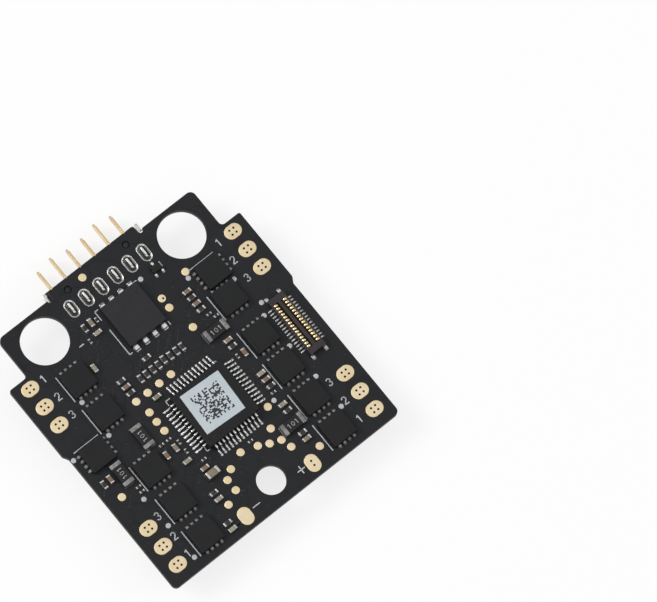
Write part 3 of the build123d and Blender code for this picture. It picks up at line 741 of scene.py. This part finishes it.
# ---------------------------------------------------------------- copper under the mask
def over_board(spots, side):
    """Whether each spot lies in one of the board's face triangles, by the signs of its three edge
    products."""
    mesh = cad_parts["bare_board"].data
    triangles = places_of(mesh)[triangles_of(mesh)]
    level = np.abs(triangles[:, :, 2] - face_z[side]).max(1) < 0.01
    inside = np.zeros(len(spots), bool)
    for a, b, c in triangles[level][:, :, :2]:
        turns = [(q[0] - p[0]) * (spots[:, 1] - p[1]) - (q[1] - p[1]) * (spots[:, 0] - p[0])
                 for p, q in ((a, b), (b, c), (c, a))]
        inside |= (np.min(turns, 0) >= 0) | (np.max(turns, 0) <= 0)
    return inside


def via_rings(spots, radius):
    """Vias under the mask: low rings with a sunk middle."""
    rings, rise = (1, 0.8, 0.6, 0.42, 0.3), (-INK_SUNK, 0.011, 0.012, 0.005, 0.001)
    return plates(spots, 0, radius, 0, rings, rise, around=12)


def under_tracks(name, side, share):
    """Copper tracks under the mask from that share of the small chips' ends: each leaves straight out,
    turns by an eighth of a circle and stops at a via. Those that would leave the board are left out."""
    ends = (on_side(*solids_of(node), side) for node in ("ends_0402", "ends_0201"))
    low, high = (np.concatenate(boxes) for boxes in zip(*ends))
    picked = draws.random(len(low)) < share
    middle, size = ((low + high)[:, :2] / 2)[picked], (high - low)[picked]
    way = np.zeros_like(middle)
    way[np.arange(len(way)), size[:, :2].argmin(1)] = draws.choice([-1.0, 1.0], len(way))
    turn = np.stack([-way[:, 1], way[:, 0]], 1) * draws.choice([-1.0, 1.0], (len(way), 1))
    knee = middle + way * draws.uniform(0.5, 1.5, (len(way), 1))
    end = knee + (way + turn) * draws.uniform(0.3, 1.1, (len(way), 1))
    beyond = 0.4
    stays = over_board(end + way * beyond, side) & over_board(end + turn * beyond, side)
    lines = np.concatenate([np.stack([middle, knee], 1), np.stack([knee, end], 1)])[np.tile(stays, 2)]
    ridges = strokes(lines - (0, joint_row), 0.13, 0.009)
    lay(name, [ridges, via_rings(end[stays], 0.2)], masked_copper, side)


def tented_vias(name, side, pitch, keep):
    """Vias under the mask: a jittered grid of spots, less those near a part, a hole or the board's edge.
    Each is a low ring with a sunk middle."""
    edge_room, part_room = 0.5, 0.32
    low, high = corners_of("bare_board")
    x, y = np.meshgrid(np.arange(low[0], high[0], pitch), np.arange(low[1], high[1], pitch))
    spots = np.stack([x.ravel(), y.ravel()], 1) + draws.uniform(-0.4, 0.4, (x.size, 2)) * pitch
    spots = spots[draws.random(len(spots)) < keep]
    for angle in np.arange(8) * math.pi / 4:
        spots = spots[over_board(spots + edge_room * np.array([math.cos(angle), math.sin(angle)]), side)]
    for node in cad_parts:
        if node == "bare_board":
            continue
        near, far = on_side(*solids_of(node), side)
        if len(near):
            past_near = spots[:, None] > near[:, :2] - part_room
            before_far = spots[:, None] < far[:, :2] + part_room
            spots = spots[~(past_near & before_far).all(2).any(1)]
    lay(name, [via_rings(spots, 0.16)], masked_copper, side)


# ---------------------------------------------------------------- packages
def package(node, piece, side, radius, dimple=None, draft=0.0, material=mould_dark):
    """A moulded package in its own node's box, with rounded edges, a slight draft and a pin-one dimple,
    given as (x, y, size, depth). Its edge mark is 1 where a point lies in the rounding of two or more
    sides."""
    low, high = (np.array([corner]) for corner in corners_of(node))
    low, high = heights(low, high, side)
    points, faces = moulding(low[0], high[0], radius, [dimple] if dimple else (), draft)
    half = (high - low)[0] / 2
    # The edge mark places the painted edge highlight of the moulding finishes.
    rounded = np.abs(points - (low + high)[0] / 2) > half - radius * 0.6
    lay(piece, [(points, faces)], material, side, [node], {"edge": rounded.sum(1) > 1})


def packages():
    """All the moulded packages, and the coats of the current shunts."""
    for number in range(1, 13):
        node = f"phase_switch_{number:02d}"
        package(node, f"{node}_moulding", FRONT, 0.05, (-1.15, -1.15, 0.16, 0.045))
    for number in range(1, 5):
        node = f"gate_driver_{number}"
        package(node, f"{node}_moulding", BACK, 0.05, (1.45, 1.45, 0.22, 0.05))
    package("main_switch_body", "main_switch_moulding", FRONT, 0.06, (1.8, 1.65, 0.17, 0.06),
            material=mould_grey)
    package("microcontroller_body", "microcontroller_moulding", FRONT, 0.1, (-2.75, -2.75, 0.35, 0.05), 0.02)
    package("front_transistor", "front_transistor_moulding", FRONT, 0.05, draft=0.05)
    package("back_transistor", "back_transistor_moulding", BACK, 0.07, draft=0.05)
    package("regulator", "regulator_moulding", BACK, 0.04, (0.3, 0.28, 0.07, 0.01))
    for number in range(1, 5):
        node = f"current_shunt_{number}"
        package(node, f"{node}_coat", FRONT, 0.04, material=shunt_coat)


# ---------------------------------------------------------------- leads and solder
def middles_of(nodes):
    """The middle of each node, in mm."""
    return np.array([np.mean(corners_of(node), 0) for node in nodes])


def outward_from(middle, centres):
    """For each middle, the unit step away from the nearest centre along x or y, whichever is longer, and
    the number of that axis."""
    away = middle[:, None] - centres
    rows = np.arange(len(middle))
    away = away[rows, np.linalg.norm(away, axis=2).argmin(1), :2]
    axis = np.abs(away).argmax(1)
    step = np.zeros_like(away)
    step[rows, axis] = np.sign(away[rows, axis])
    return step, axis


def along(axis, signs):
    """Unit steps along x (0) or y (1) with those signs."""
    step = np.zeros((len(signs), 2))
    step[np.arange(len(signs)), axis] = signs
    return step


def outer_edge(middle, step, length, sunk=SOLDER_SUNK):
    """The place half a length from each middle along its step, less how far solder is sunk in."""
    return middle[:, :2] + step * (length / 2 - sunk)[:, None]


def microcontroller_leads():
    """Forty-eight gull-wing leads: level out of the wall, then a smooth step down to the foot, with solder
    at the toe and the heel of each."""
    low, high = on_side(*solids_of("microcontroller_leads"), FRONT)
    middle, size = (low + high) / 2, high - low
    # Each lead's long side is the way that it points.
    axis = size[:, :2].argmax(1)
    away = middle[:, :2] - middles_of(["microcontroller_body"])[:, :2]
    outward = along(axis, np.sign(away[np.arange(len(low)), axis]))
    reach, width, top = size[:, :2].max(1)[0], size[:, :2].min(1)[0], high[0, 2]
    thickness, bury = 0.15, 0.15
    starts = middle[:, :2] - outward * (reach / 2 + bury)
    run = np.linspace(0, reach + bury, 21)
    height = top - thickness / 2 - (top - thickness) * eased((run - bury - 0.3 * reach) / (0.24 * reach))
    leads = strips(starts, outward, (run, height), width, thickness)
    lay("microcontroller_gull_leads", [leads], tin_metal, FRONT, ["microcontroller_leads"])
    toes = middle[:, :2] + outward * (reach / 2 - SOLDER_SUNK)
    toe = solder_heels(toes, outward, width * 1.25, rise=0.13, reach=0.42)
    heel_out = 0.14  # where a foot's heel turns up, outside the lead's middle
    heels = middle[:, :2] + outward * heel_out
    heel = solder_heels(heels, -outward, width * 1.1, rise=0.12, reach=0.22)
    lay("microcontroller_solder", [toe, heel], solder_metal)


def flat_leads(node, bodies, piece, side, radius, metal, solder, width, rise, reach, across=5, down=5):
    """Flat no-lead terminals round their packages, each with a short wedge of solder up its outer face."""
    low, high = on_side(*solids_of(node), side)
    middle = (low + high) / 2
    way, _ = outward_from(middle[:, :2], middles_of(bodies)[:, :2])
    lay(f"{piece}_terminals", [rounded_blocks(low, high, radius)], metal, side, [node])
    face_out = 0.14  # from a terminal's middle to its outer face
    heels = solder_heels(middle[:, :2] + way * face_out, way, width, rise, reach, across, down)
    lay(f"{piece}_solder", [heels], solder, side)


def phase_switch_leads():
    """Terminals of the twelve phase switches."""
    bodies = [f"phase_switch_{number:02d}" for number in range(1, 13)]
    flat_leads("phase_switch_leads", bodies, "phase_switch", FRONT, 0.03, dull_tin, dull_tin,
               width=0.3, rise=0.13, reach=0.14)


def gate_driver_leads():
    """Terminals of the four gate drivers."""
    bodies = [f"gate_driver_{number}" for number in range(1, 5)]
    flat_leads("gate_driver_leads", bodies, "gate_driver", BACK, 0.025, tin_metal, solder_metal,
               width=0.2, rise=0.1, reach=0.16, across=3, down=4)


def main_switch_leads():
    """Stubs of lead at two edges of the main switch, with solder up their outer faces and their sides."""
    low, high = on_side(*solids_of("main_switch_leads"), FRONT)
    middle, size = (low + high) / 2, high - low
    way = along(1, np.sign(middle[:, 1] - middles_of(["main_switch_body"])[0, 1]))
    lay("main_switch_terminals", [rounded_blocks(low, high, 0.04, 2)], tin_metal, FRONT,
        ["main_switch_leads"])
    edge = outer_edge(middle, way, size[:, 1])
    heels = [solder_heels(edge, way, size[:, 0] * 1.15, rise=0.22, reach=0.3)]
    for turn in (-1.0, 1.0):
        side = along(0, np.full(len(way), turn))
        edge = outer_edge(middle, side, size[:, 0])
        heels.append(solder_heels(edge, side, size[:, 1] * 0.9, rise=0.15, reach=0.12))
    lay("power_package_solder", heels, solder_metal)


def small_feet():
    """Feet of the small transistors and the regulator on both faces, with a bent strip over each tall
    foot."""
    for side, label, bodies in (
        (FRONT, "front", ["front_transistor"]),
        (BACK, "back", ["back_transistor", "regulator"]),
    ):
        low, high = on_side(*solids_of("small_package_leads"), side)
        middle, size = (low + high) / 2, high - low
        centres = middles_of(bodies)
        nearest = np.hypot(*(middle[:, None, :2] - centres[None, :, :2]).transpose(2, 0, 1)).argmin(1)
        way = along(1, np.sign(middle[:, 1] - centres[nearest, 1]))
        tall = size[:, 2] > 0.12
        # The strip starts at the package's side, 0.42 mm up, and comes down to 0.08 mm.
        run = np.linspace(0, 0.55, 9)
        height = 0.42 - 0.34 * eased((run - 0.12) / 0.3)
        shoulders = [
            strips([spot[:2] - step * 0.5], [step], (run, height), width * 0.9, thickness=0.13)
            for spot, step, width in zip(middle[tall], way[tall], size[tall][:, 0])
        ]
        edge = outer_edge(middle, way, size[:, 1])
        heels = solder_heels(edge, way, size[:, 0] * 1.2, size[:, 2] * 0.8, reach=0.18)
        lay(f"{label}_small_feet", [rounded_blocks(low, high, 0.03)] + shoulders, tin_metal, side,
            ["small_package_leads"])
        lay(f"{label}_small_feet_solder", [heels], solder_metal, side)


def board_connector():
    """Contacts that rise from the floor of each trough, roll over and dip into the outer wall, and soldered
    tails outside the walls."""
    low, high = on_side(*solids_of("connector_contacts"), FRONT)
    body_low, body_high = corners_of("connector_housing")
    centre = (body_low + body_high) / 2
    middle, size = (low + high) / 2, (high - low)[0]
    outward = along(0, np.sign(middle[:, 0] - centre[0]))
    # Out from the contact's middle in mm, and height as a share of the housing's.
    run, share = np.transpose([
        (-0.19, 0.3), (-0.17, 0.55), (-0.1, 0.84), (0.0, 0.99), (0.12, 1.06), (0.26, 1.06),
        (0.4, 1.0), (0.47, 0.85), (0.48, 0.6),
    ])
    path = (run, share * (body_high[2] - front_z))
    contacts = strips(middle[:, :2], outward, path, size[1] * 1.25, thickness=0.07)
    lay("connector_spring_contacts", [contacts], contact_gold, FRONT, ["connector_contacts"])
    low, high = on_side(*solids_of("connector_solder_tails"), FRONT)
    middle, size = (low + high) / 2, high - low
    rows = np.arange(len(low))
    beside = np.abs(middle[:, 1] - centre[1]) < (body_high - body_low)[1] / 2
    axis = np.where(beside, 0, 1)
    way = along(axis, np.sign(middle[:, :2] - centre[:2])[rows, axis])
    edge = outer_edge(middle, way, size[rows, axis])
    width = size[rows, 1 - axis] * 1.1
    toes = solder_heels(edge, way, width, rise=0.12, reach=0.22, across=4, down=4)
    lay("connector_tails", [rounded_blocks(low, high, 0.03)], end_metal, FRONT, ["connector_solder_tails"])
    lay("connector_solder", [toes], end_metal)


def shunt_ends():
    """Wide plated ends of the current shunts, with solder heels."""
    low, high = on_side(*solids_of("current_shunt_ends"), FRONT)
    middle, size = (low + high) / 2, high - low
    bodies = middles_of([f"current_shunt_{number}" for number in range(1, 5)])
    way, axis = outward_from(middle[:, :2], bodies[:, :2])
    lay("current_shunt_terminals", [rounded_blocks(low, high, 0.05, 2)], dull_tin, FRONT,
        ["current_shunt_ends"])
    rows = np.arange(len(low))
    edge = outer_edge(middle, way, size[rows, axis], sunk=0.03)
    heels = solder_heels(edge, way, size[rows, 1 - axis], size[:, 2] * 0.6, reach=0.2)
    lay("current_shunt_solder", [heels], dull_tin)


# ---------------------------------------------------------------- chip parts
def chips(bodies, ends, radius, reach):
    """Chip parts of one size: rounded ceramic bodies with a batch mark each, rounded plated ends a little
    prouder, and a concave heel of solder outside each end. bodies is (node, piece, material, slot); the slot
    is not used."""
    points_each = 56
    body_boxes = [solids_of(node) for node, *_ in bodies]
    centres = np.concatenate([(low + high) / 2 for low, high in body_boxes])
    all_low, all_high = solids_of(ends)
    all_middle = (all_low + all_high) / 2
    for side, label in ((FRONT, "front"), (BACK, "back")):
        for (node, piece, material, slot), (low, high) in zip(bodies, body_boxes):
            low, high = on_side(low, high, side)
            if len(low):
                batch = np.repeat(draws.random(len(low)), points_each)
                lay(f"{label}_{piece}", [rounded_blocks(low, high, radius)], material, side, [node],
                    {"batch": batch})
        chosen = (all_middle[:, 2] - face_z[side]) * side > 0
        if not chosen.any():
            continue
        way, axis = outward_from(all_middle[chosen], centres)
        low, high = heights(all_low[chosen], all_high[chosen], side)
        middle, size, rows = (low + high) / 2, high - low, np.arange(len(low))
        lay(f"{label}_{ends}_plating", [rounded_blocks(low, high, radius * 1.4)], end_metal, side, [ends])
        edge = outer_edge(middle, way, size[rows, axis], radius * 0.5)
        stretch = draws.uniform(0.8, 1.15, len(edge))
        width, rise = size[rows, 1 - axis] * 1.02, size[:, 2] * 0.62 * stretch
        heels = solder_heels(edge, way, width, rise, reach * stretch, across=4, down=4)
        lay(f"{label}_{ends}_solder", [heels], solder_metal, side)


def all_chips():
    """The chip parts of all three sizes."""
    chips([("capacitors_0603", "large_capacitors", cap_ceramic, "brown_ceramic"),
           ("ferrite_bead", "bead", bead_grey, "bead_ferrite")], "ends_0603", 0.05, 0.24)
    chips([("capacitors_0402", "medium_capacitors", cap_ceramic, "brown_ceramic"),
           ("resistors_0402", "medium_resistors", film_coat, "resistor_film")], "ends_0402", 0.035, 0.15)
    chips([("capacitors_0201", "tiny_capacitors", pale_ceramic, "pale_ceramic"),
           ("resistors_0201", "tiny_resistors", film_coat, "resistor_film")], "ends_0201", 0.022, 0.1)


# ---------------------------------------------------------------- ink
def arc(x, y, radius, start, end, count=7, squash=1.0):
    """Points of an arc about (x, y) from one angle to another, in degrees."""
    angle = np.radians(np.linspace(start, end, count))
    return [(x + radius * math.cos(a), y + radius * squash * math.sin(a)) for a in angle]


# Pen paths of plain numerals and signs in a box one unit tall, centred on its middle.
NUMERALS = {
    "0": [arc(0, 0, 0.3, 0, 360, 13, 1.6)],
    "1": [[(-0.2, 0.3), (0.02, 0.5), (0.02, -0.5)]],
    "2": [arc(0, 0.22, 0.28, 160, -30) + [(-0.28, -0.5), (0.3, -0.5)]],
    "3": [arc(-0.02, 0.25, 0.25, 150, -80), arc(-0.02, -0.23, 0.27, 80, -150)],
    "+": [[(0, 0.4), (0, -0.4)], [(-0.4, 0), (0.4, 0)]],
    "-": [[(-0.4, 0), (0.4, 0)]],
}


def chained(*points):
    """Straight pen lines from each point to the next."""
    return list(zip(points[:-1], points[1:]))


def written(sign, x, y, height, turn=0):
    """Straight pen lines of one numeral or sign at a place on the face, turned about its middle."""
    c, s = math.cos(math.radians(turn)) * height, math.sin(math.radians(turn)) * height
    return [line for path in NUMERALS[sign]
            for line in chained(*[(x + c * px - s * py, y + s * px + c * py) for px, py in path])]


def posts(x, spans):
    """Pen lines along y at one x, each from one y to another."""
    return [((x, top), (x, bottom)) for top, bottom in spans]


def raised(patch, lift):
    """The same patch lifted off the face."""
    points, faces = patch
    return points + (0, 0, lift), faces


def mirrored(patch):
    """The same patch with x turned round, for places given as the back face is looked at."""
    points, faces = patch
    return points * (-1, 1, 1), [sheet[:, ::-1] for sheet in faces]


def front_ink():
    """White legend of the front face: package outlines, pin-one dots, corner marks and plain numerals."""
    thin = posts(-11.1, ((-4.85, -8.15), (-9.4, -12.65), (-17.4, -20.6), (-21.85, -25.15), (-26.3, -29.6)))
    thin += posts(7.2, ((-8.05, -11.25), (-13.2, -16.55), (-17.55, -20.85), (-21.85, -25.1), (-26.1, -29.5)))
    thin += [((-14.7, -12.5), (-11.5, -12.5)), ((7.55, -4.55), (10.8, -4.55))]
    for x, y, dx, dy in (
        (-3.5, -14.2, 0.55, -0.55), (3.5, -14.1, -0.5, -0.5),
        (-3.4, -21.2, 0.5, 0.5), (3.75, -21.2, -0.5, 0.5),
    ):
        thin += chained((x + dx, y), (x, y), (x, y + dy))
    thin += chained((-2.9, -1.8), (-3.3, -1.8), (-3.3, -2.95))
    thin += chained((-3.27, -4.35), (-3.27, -7.8), (-2.95, -7.8))
    thin += [((2.0, -1.85), (2.35, -1.85)), ((2.25, -7.5), (2.25, -7.9))]
    thin += [((5.6, -1.75), (5.6, -2.3)), ((-6.95, -3.8), (-6.45, -3.8))]
    pen = 0.14
    lay("front_outline_ink", [strokes(thin, pen)], board_ink)

    spots = [
        (-10.57, -8.7), (-10.57, -13.28), (-15.25, -13.1), (-12.0, -21.05), (-11.77, -24.9), (-11.73, -29.3),
        (6.95, -5.15), (10.75, -8.3), (11.45, -12.15), (10.75, -13.45), (10.8, -17.75), (10.9, -22.1),
        (10.95, -26.35), (5.7, -21.35), (2.85, -2.05),
    ]
    lay("front_dot_ink", [dots(spots, 0.3)], board_ink)

    tall, sign_tall = 0.85, 1.1
    legend = []
    for sign, y in zip("123", (-4.1, -6.6, -9.05)):
        legend += written(sign, -12.2, y, tall) + written(sign, 12.0, y, tall)
    for sign, left, right in zip("321", (-23.4, -26.15, -28.5), (-23.5, -26.1, -28.6)):
        legend += written(sign, -12.0, left, tall) + written(sign, 11.65, right, tall)
    legend += written("-", -3.0, -29.05, sign_tall) + written("+", 3.2, -29.05, sign_tall)
    lay("front_legend_ink", [strokes(legend, pen)], board_ink)


def shunt_codes():
    """Plain value codes on the four shunts, read along each one."""
    lines = []
    for number, turn in enumerate((90, 90, 0, 0), 1):
        low, high = corners_of(f"current_shunt_{number}")
        x, y = ((low + high) / 2)[:2] - (0, joint_row)
        for sign, shift in zip("101", (-0.5, 0, 0.5)):
            dx, dy = (shift, 0) if turn == 0 else (0, shift)
            lines += written(sign, x + dx, y + dy, 0.5, turn)
    lay("shunt_code_ink", [raised(strokes(lines, 0.085, 0.008), high[2] - front_z)], chip_ink)


def back_ink():
    """White legend of the back face, and one violet stamp mark. Places are as that face is looked at, with
    x to its right."""
    thin = [((5.95, -0.9), (5.95, 1.85)), ((-5.95, -0.9), (-5.95, 1.85))]
    thin += chained((6.9, -4.8), (7.72, -4.8), (7.72, -5.95))
    out = 2.15
    for x, y in ((-2.62, -11.65), (4.42, -11.73), (-2.62, -21.03), (4.45, -21.07)):
        thin += [((x - out, y + out), (x - out + 0.5, y + out))]
        thin += chained((x + out - 0.55, y + out), (x + out, y + out), (x + out, y + out - 0.5))
        thin += [((x + out, y - out + 0.5), (x + out, y - out))]
    lay("back_outline_ink", [mirrored(strokes(thin, 0.13))], board_ink, BACK)
    frames, foot = [], 0.5
    for left, right, top, bottom, bar in (
        (-12.9, -8.42, -16.87, -24.45, -18.93),
        (10.5, 15.05, -17.2, -24.8, -19.3),
    ):
        for x, inward in ((left, foot), (right, -foot)):
            frames += chained((x + inward, top), (x, top), (x, bottom), (x + inward, bottom))
        frames += [((left, bar), (right, bar))]
    lay("back_frame_ink", [mirrored(strokes(frames, 0.2))], board_ink, BACK)
    spots = [(4.8, -1.9), (-5.45, -10.5), (3.25, -14.5), (-5.2, -19.1), (2.3, -24.65), (-4.45, -25.8)]
    lay("back_dot_ink", [mirrored(dots(spots, 0.33))], board_ink, BACK)
    rings, rise = (1, 0.97, 0.5), (-INK_SUNK, 0.005, 0.006)
    stamp = plates([(5.9, -29.0 + joint_row)], 0.5, 0.95, 0.6, rings, rise, around=32)
    violet = finish("stamp ink", (0.035, 0.012, 0.035), (0.06, 0.02, 0.055), (0.4, 0.6), grains=5,
                    patches=1.5)
    lay("back_stamp_ink", [mirrored(stamp)], violet, BACK)


def label():
    """The label keeps its CAD shape, and its print is a seeded scatter of square cells that spells nothing.
    Both are turned as the label is, by the slope between its right and its lower corner."""
    softened("printed_label", 0.02, label_film, "microcontroller_label")
    low, high = corners_of("printed_label")
    places = places_of(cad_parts["printed_label"].data)[:, :2]
    right, lower = places[places[:, 0].argmax()], places[places[:, 1].argmin()]
    turn = math.atan2(right[1] - lower[1], right[0] - lower[0])
    turn = (turn + math.pi / 4) % (math.pi / 2) - math.pi / 4
    turned = np.array([(math.cos(turn), math.sin(turn)), (-math.sin(turn), math.cos(turn))])
    count, cell, thick, sunk = 21, 0.165, 0.006, 0.003
    on = draws.random((count, count)) < 0.5
    on[:2, ::3] = False
    on[-2:, 1::3] = False
    rows, columns = np.nonzero(on)
    spots = (np.stack([columns, rows], 1) - (count - 1) / 2) * cell
    plan = (spots @ turned + ((low + high) / 2)[:2])[:, None]
    base = high[2] - front_z
    corner = np.array([(-1, -1), (1, -1), (1, 1), (-1, 1)]) * cell * 0.5 @ turned
    foot = np.concatenate([plan + corner, np.full((len(plan), 4, 1), base - sunk)], 2)
    lid = np.concatenate([plan + corner * 0.97, np.full((len(plan), 4, 1), base + thick)], 2)
    faces = np.array([(4, 5, 6, 7), (3, 2, 1, 0), (0, 1, 5, 4), (1, 2, 6, 5), (2, 3, 7, 6), (3, 0, 4, 7)])
    lay("label_cells", [stacked(np.concatenate([foot, lid], 1), [faces])], label_print, flat=True)


def sticker():
    """A paper disc with a plain tick and a ring of short dashes."""
    low, high = on_side(*solids_of("round_sticker"), BACK)
    centre, radius, thick = (low + high)[0, :2] / 2, (high - low)[0, 0] / 2, high[0, 2]
    rings, rise = (1, 0.995, 0.985, 0.6), (-INK_SUNK, thick * 0.75, thick * 0.97, thick)
    lay("inspection_sticker", [plates([centre], 0, radius, 0, rings, rise, around=64)], sticker_paper, BACK,
        ["round_sticker"])
    place = centre - (0, joint_row)
    tick = chained(*(place + np.array([(0.85, 0.0), (0.2, -0.65), (-0.95, 0.75)])))
    angles = np.radians(np.arange(0, 360, 30))
    way = np.stack([np.cos(angles), np.sin(angles)], 1)
    side = np.stack([-way[:, 1], way[:, 0]], 1)
    ring, half_dash, ink_thick = 1.85, 0.28, 0.008
    dashes = np.stack([place + way * ring - side * half_dash, place + way * ring + side * half_dash], 1)
    patches = [raised(strokes(lines, pen, ink_thick), thick) for lines, pen in ((tick, 0.36), (dashes, 0.2))]
    lay("sticker_tick", patches, sticker_print, BACK)


# ---------------------------------------------------------------- studio
def bare_tree(owner):
    """The emptied node tree of a material or a world."""
    owner.use_nodes = True
    owner.node_tree.nodes.clear()
    return owner.node_tree


def floor():
    """A large pale floor under the part. It glows more with distance, so that it meets the backdrop without
    a line, and it is clear from below and to shadow rays, so that the back can be lit."""
    size = 6.0
    mesh = bpy.data.meshes.new("studio_floor")
    corners = [(-size, -size, 0), (size, -size, 0), (size, size, 0), (-size, size, 0)]
    mesh.from_pydata(corners, [], [(0, 1, 2, 3)])
    plane = in_scene("studio_floor", mesh)
    material = bpy.data.materials.new("pale floor")
    tree = bare_tree(material)
    paint = put(tree, "BsdfDiffuse", {"Color": (0.24, 0.24, 0.24, 1)}).outputs[0]
    place = put(tree, "TexCoord").outputs["Object"]
    away = put(tree, "VectorMath", {0: place}, operation="LENGTH").outputs["Value"]
    lift = spread(tree, away, 0.1, 0.9, 0.77, 0.885)
    glow = put(tree, "Emission", {"Color": (1, 1, 1, 1), "Strength": lift}).outputs[0]
    lit_paint = put(tree, "AddShader", {0: paint, 1: glow}).outputs[0]
    clear = put(tree, "BsdfTransparent").outputs[0]
    under = put(tree, "NewGeometry").outputs["Backfacing"]
    shadow = put(tree, "LightPath").outputs["Is Shadow Ray"]
    unseen = reckon(tree, "MAXIMUM", under, shadow)
    surface = put(tree, "MixShader", {0: unseen, 1: lit_paint, 2: clear}).outputs[0]
    put(tree, "OutputMaterial", {"Surface": surface})
    mesh.materials.append(material)


def softbox(name, place, aim, size, power):
    """A square area light at a place, facing the aim point, in metres and watts."""
    lamp = bpy.data.lights.new(name, "AREA")
    lamp.shape, lamp.size, lamp.energy = "SQUARE", size, power
    holder = in_scene(name, lamp)
    holder.location = place
    holder.rotation_euler = (Vector(place) - Vector(aim)).to_track_quat("Z", "Y").to_euler()


def surroundings():
    """White to the camera. To everything else a soft sky, grey at the horizon and lighter overhead."""
    world = bpy.data.worlds.new("studio")
    bpy.context.scene.world = world
    tree = bare_tree(world)
    up = put(tree, "SeparateXYZ", {0: put(tree, "TexCoord").outputs["Generated"]}).outputs["Z"]
    camera = put(tree, "LightPath").outputs["Is Camera Ray"]
    strength = mixed(tree, camera, spread(tree, up, 0.35, 0.93, 0.07, 0.84), 1.0)
    light = put(tree, "Background", {"Color": (1, 1, 1, 1), "Strength": strength}).outputs[0]
    put(tree, "OutputWorld", {"Surface": light})


def studio_camera():
    """A long lens: back from the aim point along its azimuth and elevation, then rolled about the line of
    sight."""
    azimuth, elevation, roll = (math.radians(v) for v in (-55.0, 76.76, 16.15))
    aim, distance = Vector((17.22, -4.29, front_z)) * MM, 615 * MM
    flat = math.cos(elevation)
    back = Vector((math.sin(azimuth) * flat, -math.cos(azimuth) * flat, math.sin(elevation)))
    right = Vector((math.cos(azimuth), math.sin(azimuth), 0))
    up = back.cross(right)
    turned_right = right * math.cos(roll) + up * math.sin(roll)
    turned_up = up * math.cos(roll) - right * math.sin(roll)
    lens = bpy.data.cameras.new("long_lens")
    lens.lens, lens.sensor_width = 312.3, 36
    lens.clip_start, lens.clip_end = 0.05, 20
    camera = in_scene("long_lens", lens)
    turned = Matrix((turned_right, turned_up, back)).transposed()
    camera.matrix_world = Matrix.LocRotScale(aim + back * distance, turned, None)
    bpy.context.scene.camera = camera


board_and_header()
header_joints()
flat_pads()
pad_vias()
packages()
microcontroller_leads()
phase_switch_leads()
main_switch_leads()
gate_driver_leads()
small_feet()
board_connector()
shunt_ends()
all_chips()
front_ink()
shunt_codes()
back_ink()
label()
sticker()
tented_vias("front_tented_vias", FRONT, 1.05, 0.45)
tented_vias("back_tented_vias", BACK, 0.95, 0.6)
under_tracks("front_masked_tracks", FRONT, 0.55)
under_tracks("back_masked_tracks", BACK, 0.55)

floor()
surroundings()
softbox("overhead_softbox", (-0.7, 0.75, 1.0), (0, 0, 0), 0.7, 10.0)
softbox("side_softbox", (0.9, -0.6, 0.8), (0, 0, 0), 0.6, 3.0)
softbox("under_softbox", (0.2, -0.3, -1.0), (0, 0, 0), 0.9, 5.0)
studio_camera()
bpy.context.scene.view_settings.view_transform = "Standard"
